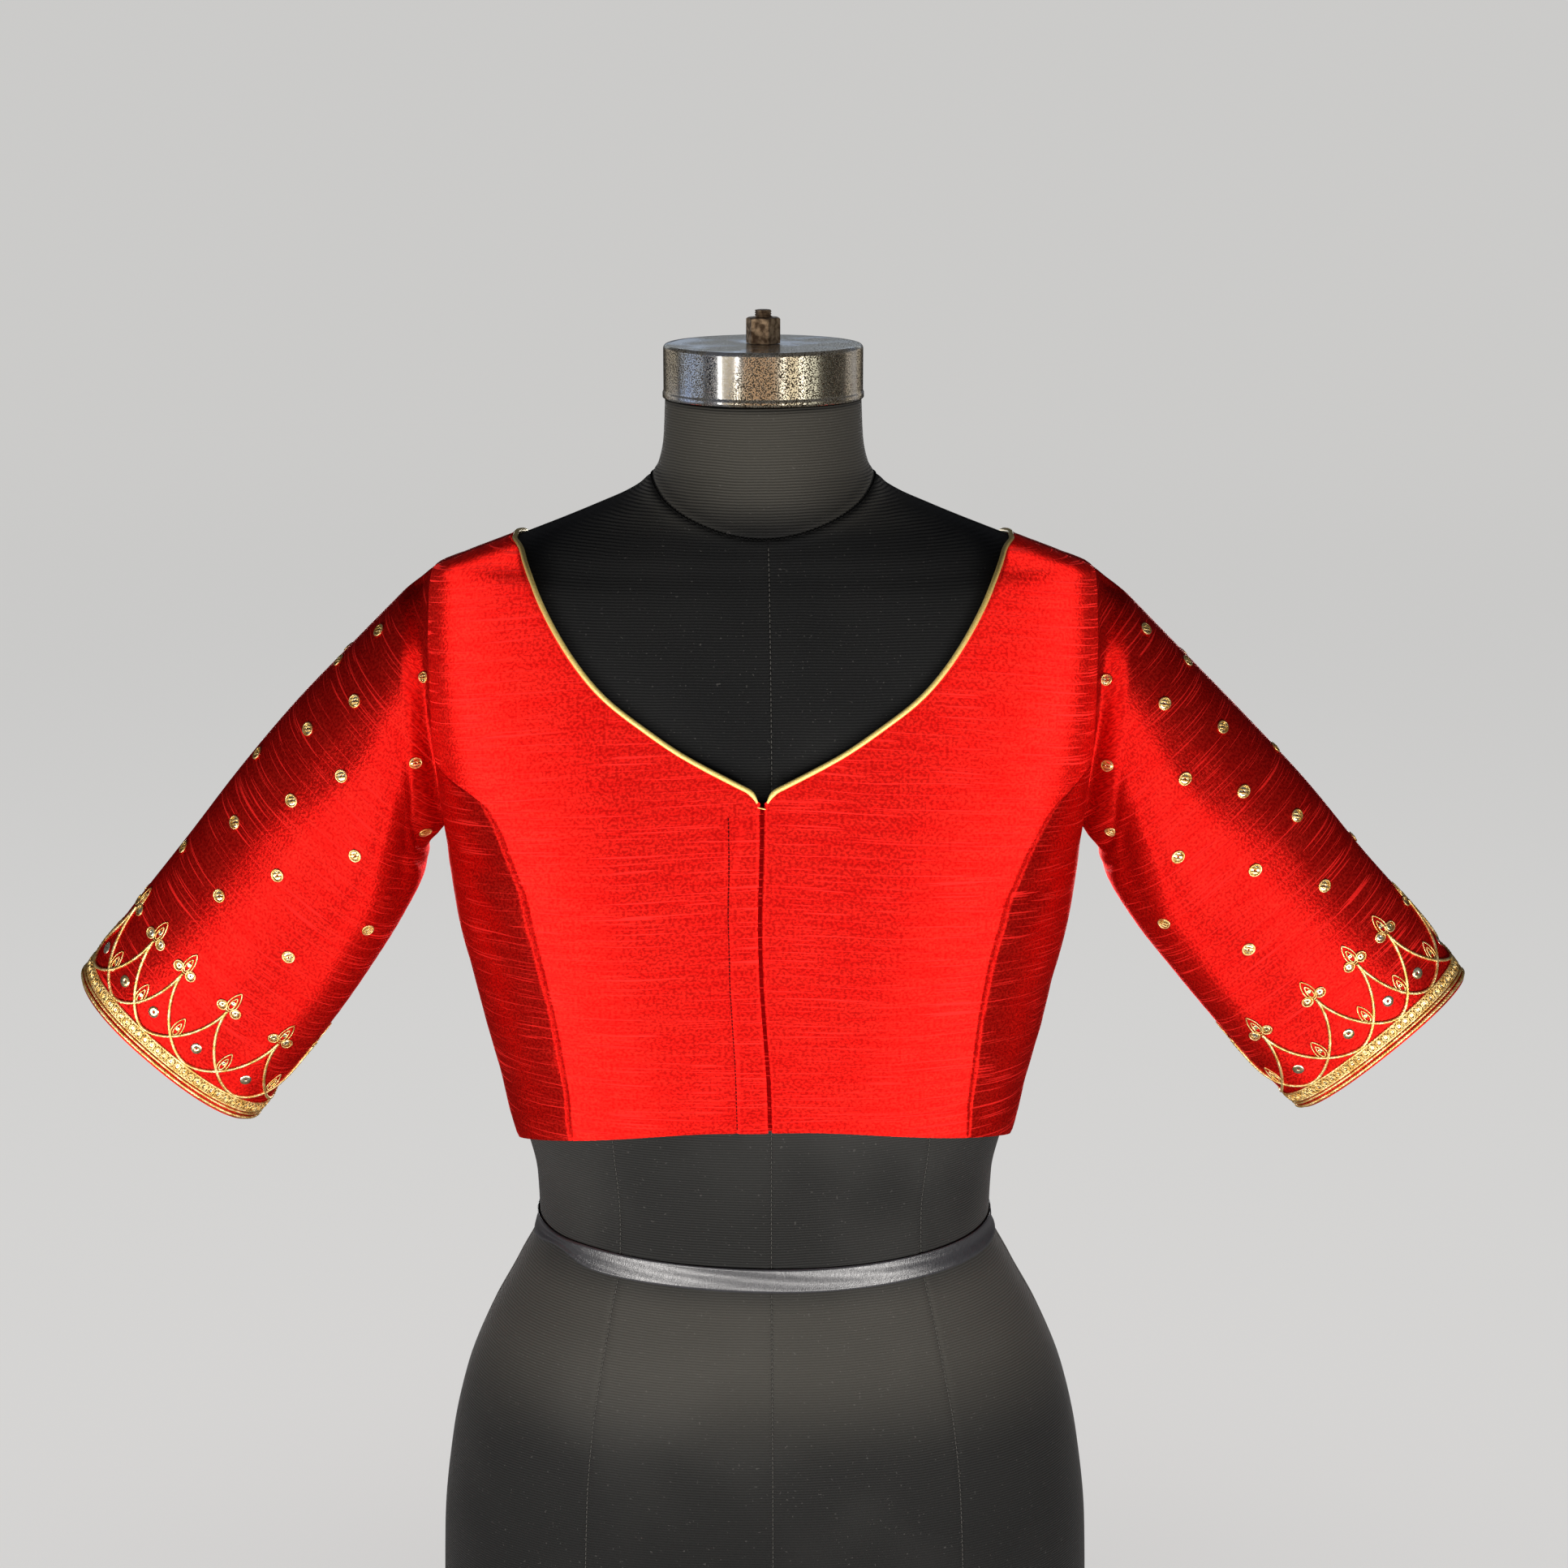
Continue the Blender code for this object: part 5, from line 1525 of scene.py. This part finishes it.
def cap_nut(finish):
    """Hexagon nut: the smaller of the hexagon and a cone that chamfers its corners."""
    low = CAP_TOP + TOUCH_GAP
    flats = NUT_CORNERS * math.cos(math.pi / 6)
    rise = np.concatenate([np.linspace(0, 0.14, 8), np.linspace(0.2, 0.8, 6),
                           np.linspace(0.86, 1, 8)])
    edge = np.minimum(4 * rise + 0.05, 1 - rise)[:, None] * NUT_HEIGHT
    cone = 0.5 * flats + 1.75 * edge
    turn = full_turn(NUT_AROUND) + math.radians(NUT_TURNED)
    radius = np.minimum(hexagon_radius(turn, flats)[None, :], cone)
    radius = radius - np.where(edge < 0.25 * MM, 0.15 * MM, 0.0)
    height = low + rise * NUT_HEIGHT
    bore = 0.5 * ROD_DIAMETER + 0.15 * MM
    sunk = height[-1] - 0.6 * MM
    rings = [(0.0, low), (radius[0] * 0.5, low), *zip(radius, height),
             (bore + 0.8 * MM, height[-1]), (bore, sunk), (0.0, sunk)]
    made = turned("old_nut", rings, NUT_AROUND, finish, "nut_brass", ["form_cap_nut"])
    made.modifiers.new("Edges", "EDGE_SPLIT").split_angle = math.radians(28)
    return made


THREAD_PITCH = 1.25 * MM
THREAD_DEPTH = 0.55 * MM
ROD_AROUND = 72


def rod_end(finish):
    """Threaded end of the rod: radius falls by depth * a triangle wave of height / pitch minus
    the share of a turn."""
    low = CAP_TOP + TOUCH_GAP + 0.55 * NUT_HEIGHT
    high = CAP_TOP + 2 * TOUCH_GAP + NUT_HEIGHT + ROD_ABOVE_NUT
    height = np.linspace(low, high - 0.3 * MM, 64)[:, None]
    phase = np.mod(height / THREAD_PITCH - full_turn(ROD_AROUND) / (2 * math.pi), 1.0)
    radius = 0.5 * ROD_DIAMETER - THREAD_DEPTH * np.abs(2 * phase - 1)
    top = 0.5 * ROD_DIAMETER - THREAD_DEPTH
    rings = [(0.0, low), *zip(radius, height[:, 0]), (top, high - 0.1 * MM),
             (top - 0.5 * MM, high), (1 * MM, high), (0.0, high)]
    return turned("rod_thread", rings, ROD_AROUND, finish, "nut_brass", ["form_rod_end"])


def waist_ribbon(finish):
    """Satin ribbon round the waist: it wanders up and down by a small sine, and gathers at the
    wearer's right."""
    angle = np.linspace(-math.pi, math.pi, 360, endpoint=False)
    share = np.linspace(-0.5, 0.5, 11)[:, None]
    gather = np.exp(-((angle + math.radians(158)) / math.radians(9)) ** 2)
    width = TAPE_WIDTH * (1 - 0.45 * gather)
    middle = (TAPE_BOTTOM + 0.5 * TAPE_WIDTH + 0.9 * MM * np.sin(2 * angle + 0.6)
              + 2.0 * MM * gather)
    height = middle + share * width
    pleat = (0.7 * MM * gather * np.cos(6 * math.pi * share)
             + 0.25 * MM * np.sin(5 * angle + 8 * share))
    lift = TOUCH_GAP + 0.5 * TAPE_THICKNESS + 0.35 * MM + pleat
    grid_angle = np.repeat(angle[None, :], len(share), 0)
    points = form_point(grid_angle, height) + form_normal(grid_angle, height) * lift[..., None]
    made = cloth_sheet("waist_ribbon", points, ring_weave(points), finish,
                       ["form_waist_tape"], 0.5 * MM, closed=True)


# Finishes

def add(tree, kind, settings=None, inputs=None):
    """Adds a node, sets its own settings, and fills its inputs with values or other sockets."""
    node = tree.nodes.new(kind)
    for key, value in (settings or {}).items():
        setattr(node, key, value)
    feed(tree, node, inputs or {})
    return node


def feed(tree, node, inputs):
    """Fills a node's inputs with values or other sockets."""
    for key, value in inputs.items():
        if isinstance(value, bpy.types.NodeSocket):
            tree.links.new(value, node.inputs[key])
        else:
            node.inputs[key].default_value = value


def math_node(tree, operation, first, second=0.0):
    """One Math node's result."""
    return add(tree, "ShaderNodeMath", {"operation": operation}, {0: first, 1: second}).outputs[0]


def times(tree, value, factor):
    """A value times a factor."""
    return math_node(tree, "MULTIPLY", value, factor)


def total(tree, start, *terms):
    """start + value * weight, added up over the terms."""
    for value, weight in terms:
        start = math_node(tree, "ADD", start, times(tree, value, weight))
    return start


def noise(tree, place, scale, detail=2.0, stretch=(1.0, 1.0, 1.0), flat=False):
    """Noise in places stretched along the axes."""
    mapped = add(tree, "ShaderNodeMapping", None, {"Vector": place, "Scale": stretch}).outputs[0]
    return add(tree, "ShaderNodeTexNoise", {"noise_dimensions": "2D" if flat else "3D"},
               {"Vector": mapped, "Scale": scale, "Detail": detail,
                "Roughness": 0.5}).outputs["Fac"]


def weave_noise(tree, place, round_it, up_it, detail=1.0):
    """Noise on a cloth's weave, with so many waves to a metre round it and up it."""
    return noise(tree, place, 1.0, detail, (round_it, up_it, 1.0), flat=True)


def ramp(tree, value, low, high, to_low=0.0, to_high=1.0):
    """A smooth step of a value from low to high."""
    return add(tree, "ShaderNodeMapRange", {"interpolation_type": "SMOOTHSTEP"},
               {"Value": value, "From Min": low, "From Max": high,
                "To Min": to_low, "To Max": to_high}).outputs[0]


def mixed(tree, share, first, second):
    """A colour between two, by a share."""
    node = add(tree, "ShaderNodeMix", {"data_type": "RGBA"}, {"Factor": share})
    for name, value in (("A", first), ("B", second)):
        socket = [s for s in node.inputs if s.name == name and s.type == "RGBA"][0]
        if isinstance(value, bpy.types.NodeSocket):
            tree.links.new(value, socket)
        else:
            socket.default_value = (*value, 1.0)
    return [s for s in node.outputs if s.type == "RGBA"][0]


def new_group(name, inputs, outputs):
    """A shader node group with named inputs and outputs."""
    group = bpy.data.node_groups.new(name, "ShaderNodeTree")
    for label, kind in inputs:
        group.interface.new_socket(label, in_out="INPUT", socket_type=kind)
    for label, kind in outputs:
        group.interface.new_socket(label, in_out="OUTPUT", socket_type=kind)
    return group, group.nodes.new("NodeGroupInput"), group.nodes.new("NodeGroupOutput")


def slub_weave():
    """Weft of slubbed silk.  Thin streaks run along the weft where stretched noise is high: slubs,
    finer slubs, the yarn itself, and a fine grain."""
    group, given, out = new_group(
        "slub weave", [("Place", "NodeSocketVector")],
        [("Slub", "NodeSocketFloat"), ("Yarn", "NodeSocketFloat"), ("Grain", "NodeSocketFloat"),
         ("Height", "NodeSocketFloat")])
    place = given.outputs["Place"]
    wander = weave_noise(group, place, 14.0, 60.0)
    drift = times(group, math_node(group, "SUBTRACT", wander, 0.5), 0.0022)
    shift = add(group, "ShaderNodeCombineXYZ", None, {"Y": drift}).outputs[0]
    place = add(group, "ShaderNodeVectorMath", {"operation": "ADD"},
                {0: place, 1: shift}).outputs[0]
    thick = ramp(group, weave_noise(group, place, 15.0, 900.0, 0.0), 0.755, 0.785)
    fine = ramp(group, weave_noise(group, place, 24.0, 1400.0, 0.0), 0.75, 0.79)
    slub = math_node(group, "MAXIMUM", thick, times(group, fine, 0.8))
    yarn = weave_noise(group, place, 150.0, 1900.0, 1.5)
    grain = weave_noise(group, place, 600.0, 700.0, 1.5)
    feed(group, out, {"Slub": slub, "Yarn": yarn, "Grain": grain,
                      "Height": total(group, 0.0, (slub, 0.9), (yarn, 0.4), (grain, 1.1))})
    return group


def new_material(name, on_weave=False):
    """A material, its tree and shader, and its texture's place: on the cloth's weave, or in the
    object's own space."""
    made = bpy.data.materials.new(name)
    made.use_nodes = True
    tree = made.node_tree
    if on_weave:
        place = add(tree, "ShaderNodeUVMap", {"uv_map": "weave"}).outputs[0]
    else:
        place = add(tree, "ShaderNodeTexCoord").outputs["Object"]
    return made, tree, tree.nodes["Principled BSDF"], place


def bump(tree, shader, height, distance, strength=1.0):
    """Feeds a height to the shader's normal."""
    node = add(tree, "ShaderNodeBump", None,
               {"Height": height, "Distance": distance, "Strength": strength})
    tree.links.new(node.outputs[0], shader.inputs["Normal"])


def silk(name, group, tint):
    """Red slubbed silk: metal-like sheen, far wider along the warp than along the weft, and duller
    on the slubs."""
    made, tree, shader, place = new_material(name, on_weave=True)
    weave = add(tree, "ShaderNodeGroup", {"node_tree": group}, {"Place": place})
    slub = weave.outputs["Slub"]
    grain = weave.outputs["Grain"]
    yarn = ramp(tree, weave.outputs["Yarn"], 0.35, 0.65)
    tone = weave_noise(tree, place, 30.0, 240.0)
    deeper = tuple(value * share for value, share in zip(tint, (0.93, 0.7, 0.75)))
    deep = mixed(tree, ramp(tree, tone, 0.3, 0.7), deeper, tint)
    speck = mixed(tree, ramp(tree, grain, 0.36, 0.60, 0.62, 0.0), deep, SILK_SHADE)
    speck = mixed(tree, times(tree, yarn, 0.26), speck, SILK_SHADE)
    tangent = add(tree, "ShaderNodeTangent", {"direction_type": "UV_MAP", "uv_map": "weave"})
    feed(tree, shader, {
        "Base Color": mixed(tree, times(tree, slub, 0.9), speck, SILK_SLUB),
        "Metallic": total(tree, SILK_METAL, (slub, -0.62)),
        "Roughness": total(tree, SILK_ROUGH, (grain, 0.06), (slub, 0.26)),
        "Anisotropic": 0.98, "Anisotropic Rotation": 0.25, "Tangent": tangent.outputs[0],
        "Specular IOR Level": 0.2, "Specular Tint": (1.0, 0.14, 0.11, 1)})
    bump(tree, shader, weave.outputs["Height"], 0.00020, 0.8)
    return made


SILK_BRIGHT = (0.95, 0.022, 0.014)
# The underlap's silk below is painted far darker than the rest: painted shade in the closure's gap.
SILK_UNDER_PAINTED_SHADE = (0.30, 0.002, 0.002)
SILK_SHADE = (0.40, 0.002, 0.003)
SILK_SLUB = (0.70, 0.016, 0.013)
SILK_METAL = 0.80
SILK_ROUGH = 0.60


def noisy_finish(name, colour, rough, relief, metal, on_weave=False):
    """A finish that follows noise.  Its colour has a noise, the noise's low and high, and the
    shades there; its roughness the same with two values; its relief a noise, distance and
    strength.  A noise is a scale and a detail, or on the weave its waves round and up."""
    made, tree, shader, place = new_material(name, on_weave)
    kind = weave_noise if on_weave else noise
    noises = {}
    for grain in (colour[0], rough[0], relief[0]):
        if grain not in noises:
            noises[grain] = kind(tree, place, *grain)
    share = ramp(tree, noises[colour[0]], *colour[1:3])
    feed(tree, shader, {"Base Color": mixed(tree, share, *colour[3:]),
                        "Roughness": ramp(tree, noises[rough[0]], *rough[1:]),
                        "Metallic": metal})
    bump(tree, shader, noises[relief[0]], *relief[1:])
    return made


def gold_thread():
    """Gold wound thread: bright metal with fine turns and a little tarnish."""
    tarnish, fine = (260.0, 3.0), (2600.0, 2.0)
    return noisy_finish("gold_thread",
                        (tarnish, 0.35, 0.68, (0.62, 0.36, 0.09), (0.93, 0.72, 0.34)),
                        (fine, 0.2, 0.8, 0.28, 0.5), (fine, 0.00022, 0.8), 0.85)


def gold_ground():
    """Ground of the border: gold weave with dark gaps between its threads."""
    across = (900.0, 2600.0)
    return noisy_finish("gold_ground",
                        (across, 0.35, 0.6, (0.10, 0.055, 0.012), (0.42, 0.27, 0.07)),
                        (across, 0.3, 0.7, 0.65, 0.4), (across, 0.0003), 0.7, on_weave=True)


def sequin_foil():
    """Sequins: pale gold foil; their tilting noise also paints some paler: a painted highlight."""
    tilt, fine = (120.0, 1.0), (900.0, 2.0)
    return noisy_finish("sequin_foil",
                        (tilt, 0.4, 0.6, (0.80, 0.64, 0.30), (0.98, 0.90, 0.66)),
                        (fine, 0.3, 0.7, 0.16, 0.36), (tilt, 0.0012, 0.5), 0.95)


def piping_satin():
    """Pale gold satin of the piping, with the fine slant of its twill."""
    twill = (1400.0, 2.0)
    return noisy_finish("piping_satin",
                        (twill, 0.3, 0.7, (0.82, 0.56, 0.13), (0.98, 0.78, 0.28)),
                        (twill, 0.3, 0.7, 0.5, 0.36), (twill, 0.00025), 0.30)


def old_brass():
    """Browned brass with darker tarnish in patches."""
    patch = (330.0, 4.0)
    return noisy_finish("old_brass",
                        (patch, 0.35, 0.65, (0.20, 0.13, 0.08), (0.66, 0.49, 0.32)),
                        (patch, 0.3, 0.7, 0.6, 0.38), (patch, 0.0003), 0.85)


RIB_PITCH = 1.45 * MM


def jersey():
    """Ribbed black jersey: fine level ribs, a soft pile, patches of wear, a paler neck cloth,
    painted light on the upper hips and neck, and painted shade low on the hips and deepest on the
    chest."""
    made, tree, shader, place = new_material("form_jersey_cover")
    wander = noise(tree, place, 26.0, 2.0)
    upright = add(tree, "ShaderNodeSeparateXYZ", None, {"Vector": place}).outputs["Z"]
    level = total(tree, upright, (wander, 0.0020))
    rib = math_node(tree, "SINE", times(tree, level, 2 * math.pi / RIB_PITCH))
    rib = total(tree, 0.5, (rib, 0.5))
    pile = noise(tree, place, 1700.0, 2.0)
    patch = noise(tree, place, 9.0, 2.0)
    dark = mixed(tree, rib, (0.007, 0.007, 0.0066), (0.017, 0.017, 0.016))
    wear_and_painted_light = mixed(tree, ramp(tree, patch, 0.4, 0.7, 0.0, 0.35), dark, (0.046, 0.045, 0.042))
    # Painted shade: a mask from about 0.46 m up to the foot of the neck paints the chest darker.
    chest = math_node(tree, "SUBTRACT", ramp(tree, upright, 0.46, 0.60, 0.0, 0.72),
                      ramp(tree, upright, 0.672, 0.698, 0.0, 0.72))
    hips = math_node(tree, "SUBTRACT", ramp(tree, upright, 0.17, 0.235),
                     ramp(tree, upright, 0.258, 0.285))
    # Painted light makes the upper hips paler, then painted shade darkens the hips towards the
    # bottom.
    wear_and_painted_light = mixed(tree, times(tree, hips, 0.5), wear_and_painted_light, (0.064, 0.060, 0.051))
    wear_and_painted_light = mixed(tree, ramp(tree, upright, 0.10, 0.215, 0.7, 0.0), wear_and_painted_light, (0.004, 0.004, 0.004))
    deep = mixed(tree, chest, wear_and_painted_light, (0.0022, 0.0025, 0.003))
    # Above its seam the neck is paler: partly its own paler cloth, partly painted light.
    neck_cloth_and_painted_light = mixed(tree, ramp(tree, upright, 0.672, 0.70, 0.0, 0.52), deep, (0.082, 0.076, 0.062))
    lint = ramp(tree, noise(tree, place, 800.0, 0.0), 0.79, 0.82, 0.0, 0.2)
    feed(tree, shader, {
        "Base Color": mixed(tree, lint, neck_cloth_and_painted_light, (0.16, 0.15, 0.14)),
        "Roughness": ramp(tree, pile, 0.3, 0.7, 0.75, 0.92),
        "Sheen Weight": 0.12, "Sheen Roughness": 0.45, "Specular IOR Level": 0.15})
    bump(tree, shader, total(tree, 0.0, (rib, 0.7), (pile, 0.6)), 0.00026)
    return made


def plain_thread(name, shade):
    """Matt sewing thread in one shade, a little uneven."""
    made, tree, shader, place = new_material(name)
    uneven = noise(tree, place, 900.0, 2.0)
    darker = tuple(0.55 * value for value in shade)
    feed(tree, shader, {"Base Color": mixed(tree, uneven, darker, shade), "Roughness": 0.8,
                        "Specular IOR Level": 0.08})
    return made


def plated():
    """Bright plating with fine pits and a dulled, specked bloom."""
    made, tree, shader, place = new_material("plated_steel")
    pits = ramp(tree, noise(tree, place, 1500.0, 2.0), 0.50, 0.58)
    bloom = ramp(tree, noise(tree, place, 34.0, 2.0, (1.0, 1.0, 0.2)), 0.36, 0.56)
    dots = times(tree, pits, bloom)
    tinted = mixed(tree, times(tree, bloom, 0.75), (0.86, 0.87, 0.90), (0.90, 0.76, 0.50))
    feed(tree, shader, {
        "Base Color": mixed(tree, dots, tinted, (0.10, 0.075, 0.045)),
        "Roughness": total(tree, 0.08, (dots, 0.4), (bloom, 0.12)), "Metallic": 1.0})
    bump(tree, shader, math_node(tree, "SUBTRACT", 1.0, dots), 0.00012)
    return made


def satin():
    """Black satin ribbon with fine cords across it."""
    made, tree, shader, place = new_material("black_satin", on_weave=True)
    cords = weave_noise(tree, place, 2400.0, 300.0)
    feed(tree, shader, {
        "Base Color": mixed(tree, cords, (0.012, 0.012, 0.014), (0.045, 0.045, 0.050)),
        "Roughness": ramp(tree, cords, 0.3, 0.7, 0.30, 0.42), "Specular IOR Level": 0.9})
    bump(tree, shader, cords, 0.00012)
    return made


PALE = (0.60, 0.595, 0.585)
FLOOR_FADE = (1.2, 6.0)         # distances from the form


def pale_floor():
    """Plain pale studio floor, with a glow that only the camera sees, so that it stays pale
    without lighting the form from below."""
    made, tree, shader, place = new_material("pale_floor")
    away = add(tree, "ShaderNodeVectorMath", {"operation": "LENGTH"}, {0: place}).outputs["Value"]
    colour = mixed(tree, ramp(tree, away, *FLOOR_FADE), (0.30, 0.297, 0.29), (0.0, 0.0, 0.0))
    seen = add(tree, "ShaderNodeLightPath").outputs["Is Camera Ray"]
    feed(tree, shader, {
        "Base Color": colour, "Roughness": 0.9, "Specular IOR Level": 0.0,
        "Emission Color": (*PALE, 1),
        "Emission Strength": times(tree, seen, ramp(tree, away, *FLOOR_FADE, 0.90, 1.0))})
    return made


# Studio

CAMERA_AT = (0.011, -1.6637, 0.9294)
CAMERA_PITCH = 13.5
CAMERA_LENS = 72.04
FLOOR_RADIUS = 14.0
FLOOR_HEIGHT = -0.5 * MM        # just under the form


def studio_floor(finish):
    """A plain round floor under the form."""
    turn = full_turn(96)
    radius = np.array([0.0, 1.0, 3.0, FLOOR_RADIUS])[:, None]
    points = np.stack([radius * np.cos(turn), radius * np.sin(turn),
                       np.full((4, 96), FLOOR_HEIGHT)], -1)
    mesh = make_mesh("floor", points, grid_faces(4, 96, closed=True))
    merge(mesh)
    made = bpy.data.objects.new("floor", mesh)
    mesh.materials.append(finish)
    bpy.context.scene.collection.objects.link(made)
    made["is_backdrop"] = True
    return made


def soft_light(name, place, size, watts, colour, aim, group):
    """A rectangular soft light turned to a point and out of the camera's sight, that lights one
    group of pieces."""
    data = bpy.data.lights.new(name, "AREA")
    data.shape = "RECTANGLE"
    data.size, data.size_y = size
    data.energy = watts
    data.color = colour
    made = bpy.data.objects.new(name, data)
    made.location = place
    made.rotation_euler = (Vector(aim) - Vector(place)).to_track_quat("-Z", "Y").to_euler()
    made.visible_camera = False
    made.light_linking.receiver_collection = group
    bpy.context.scene.collection.objects.link(made)


def light_group(name, state, members):
    """The pieces that a light shines on (INCLUDE), or leaves out (EXCLUDE)."""
    made = bpy.data.collections.new(name)
    for member in members:
        made.objects.link(member)
    for entry in made.collection_objects:
        entry.light_linking.link_state = state
    return made


def round_place(azimuth, distance, height):
    """A place at an azimuth from the front, in degrees towards the viewer's right."""
    turn = math.radians(azimuth)
    return (distance * math.sin(turn), -distance * math.cos(turn), height)


# Each light's azimuth, distance, height, width, tallness, watts and colour, by name
WARM = (1.0, 0.97, 0.94)
WHITE = (1.0, 1.0, 1.0)
# Low soft lights on the cloth and the form, with one behind
CLOTH_LIGHTS = {
    "left_panel": (-40, 1.1, 0.10, 0.70, 0.34, 14.0, WARM),
    "right_panel": (36, 1.1, 0.10, 0.70, 0.34, 14.0, WARM),
    "front_fill": (-2, 1.25, 0.08, 0.75, 0.30, 7.5, WARM),
    "behind": (180, 2.2, 0.25, 1.8, 0.5, 34, WHITE),
}
# Side and high light for the chest and shoulders of the front panels
FRONT_LIGHTS = {
    "chest_left": (-74, 1.3, 0.60, 0.85, 0.70, 18, WARM),
    "chest_right": (72, 1.3, 0.60, 0.85, 0.70, 18, WARM),
    "above_chest": (0, 1.5, 1.75, 1.50, 0.30, 8, WARM),
}
# Dim panels and strips that the plated cap mirrors
CAP_LIGHTS = {
    "left_gold": (-39, 2.4, 0.55, 0.85, 1.1, 1.5, (1.0, 0.84, 0.58)),
    "left_outer": (-50, 2.4, 0.55, 0.16, 1.1, 2.1, WHITE),
    "left_inner": (-29, 2.4, 0.55, 0.16, 1.1, 2.1, WHITE),
    "right_inner": (23, 2.4, 0.55, 0.16, 1.1, 2.1, WHITE),
    "right_outer": (45, 2.4, 0.55, 0.16, 1.1, 2.1, WHITE),
    "right_gold": (34, 2.4, 0.55, 0.80, 1.1, 2.4, (1.0, 0.90, 0.70)),
    "right_grey": (56, 2.4, 0.55, 0.80, 1.1, 2.5, (0.9, 0.95, 0.90)),
    "middle_brown": (-3, 2.4, 0.55, 1.7, 1.1, 2.5, (1.0, 0.66, 0.42)),
    "cool_side": (-90, 2.4, 0.60, 1.6, 1.2, 3.4, (0.52, 0.66, 1.0)),
    "far_left": (-132, 2.6, 0.60, 1.6, 1.2, 1.8, (1.0, 0.95, 0.88)),
    "far_right": (130, 2.6, 0.60, 1.9, 1.2, 2.5, (1.0, 0.92, 0.82)),
    "cool_behind": (180, 3.0, 1.42, 3.4, 0.75, 4.2, (0.72, 0.84, 1.0)),
}


def studio(metal):
    """Floor, soft lights, a pale surround and the camera.  The metal of the cap mirrors only its
    own dim panels, and the chest's lights reach the front panels alone."""
    floor = studio_floor(pale_floor())
    fronts = [bpy.data.objects["silk_front_" + name] for name in SIDE_NAME.values()]
    groups = [
        (CLOTH_LIGHTS, 0.52, light_group("cloth and form", "EXCLUDE", [*metal, floor])),
        (FRONT_LIGHTS, 0.55, light_group("front panels", "INCLUDE", fronts)),
        (CAP_LIGHTS, 0.62, light_group("metal of the cap", "INCLUDE", metal)),
    ]
    for table, aim, group in groups:
        for name, (azimuth, distance, height, wide, tall, watts, colour) in table.items():
            soft_light(name, round_place(azimuth, distance, height), (wide, tall), watts, colour,
                       (0, 0, aim), group)
    soft_light("above_floor", (0, 0, 3.0), (2.5, 2.5), 40, WHITE, (0, 0, 0),
               light_group("floor", "INCLUDE", [floor]))
    world = bpy.data.worlds.new("studio")
    world.use_nodes = True
    tree = world.node_tree
    seen = add(tree, "ShaderNodeLightPath").outputs["Is Camera Ray"]
    feed(tree, tree.nodes["Background"],
         {"Color": mixed(tree, seen, (0.075, 0.078, 0.088), PALE), "Strength": 1.0})
    scene = bpy.context.scene
    scene.world = world
    scene.view_settings.view_transform = "Standard"
    data = bpy.data.cameras.new("camera")
    data.sensor_width = 36.0
    data.lens = CAMERA_LENS
    camera = bpy.data.objects.new("camera", data)
    camera.location = CAMERA_AT
    camera.rotation_euler = (math.radians(90 - CAMERA_PITCH), 0.0, 0.0)
    scene.collection.objects.link(camera)
    scene.camera = camera


def corners():
    """The shown object's lowest and highest corners, as plain lists."""
    return [[float(value) for value in corner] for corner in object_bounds()]


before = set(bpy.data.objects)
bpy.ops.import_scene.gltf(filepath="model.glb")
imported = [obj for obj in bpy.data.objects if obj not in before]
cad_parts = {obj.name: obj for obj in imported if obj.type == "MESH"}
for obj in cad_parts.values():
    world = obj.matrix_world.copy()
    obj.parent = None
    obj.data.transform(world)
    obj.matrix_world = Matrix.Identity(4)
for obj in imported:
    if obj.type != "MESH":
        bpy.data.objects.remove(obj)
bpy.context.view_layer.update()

weave_group = slub_weave()
body_silk = silk("silk_body", weave_group, SILK_BRIGHT)
sleeve_silk = silk("silk_sleeves", weave_group, SILK_BRIGHT)
# The underlap's darker silk: painted shade in the closure's gap.
under_silk_painted_shade = silk("silk_underside_painted_shade", weave_group, SILK_UNDER_PAINTED_SHADE)
thread_gold = gold_thread()
foil = sequin_foil()
ground = gold_ground()
brass = old_brass()

form_body(jersey())
form_stitching(plain_thread("grey_thread", (0.085, 0.082, 0.075)))
neck_stitching(plain_thread("black_thread", (0.004, 0.004, 0.004)))
back_panel(body_silk)
for wearer_side in SIDE_NAME:
    front_centre(wearer_side, body_silk)
    front_side(wearer_side, body_silk)
for wearer_side in SIDE_NAME:
    sleeve(wearer_side, sleeve_silk)
    sleeve_chart = flat_sleeve(wearer_side)
    band_base(wearer_side, sleeve_chart, ground)
    gold_work(wearer_side, sleeve_chart, thread_gold, foil)
placket(under_silk_painted_shade)
satin_gold = piping_satin()
piping(satin_gold)
hook_thread(satin_gold)
cap = neck_cap(plated())
nut = cap_nut(brass)
rod = rod_end(brass)
waist_ribbon(satin())

studio([cap, nut, rod])
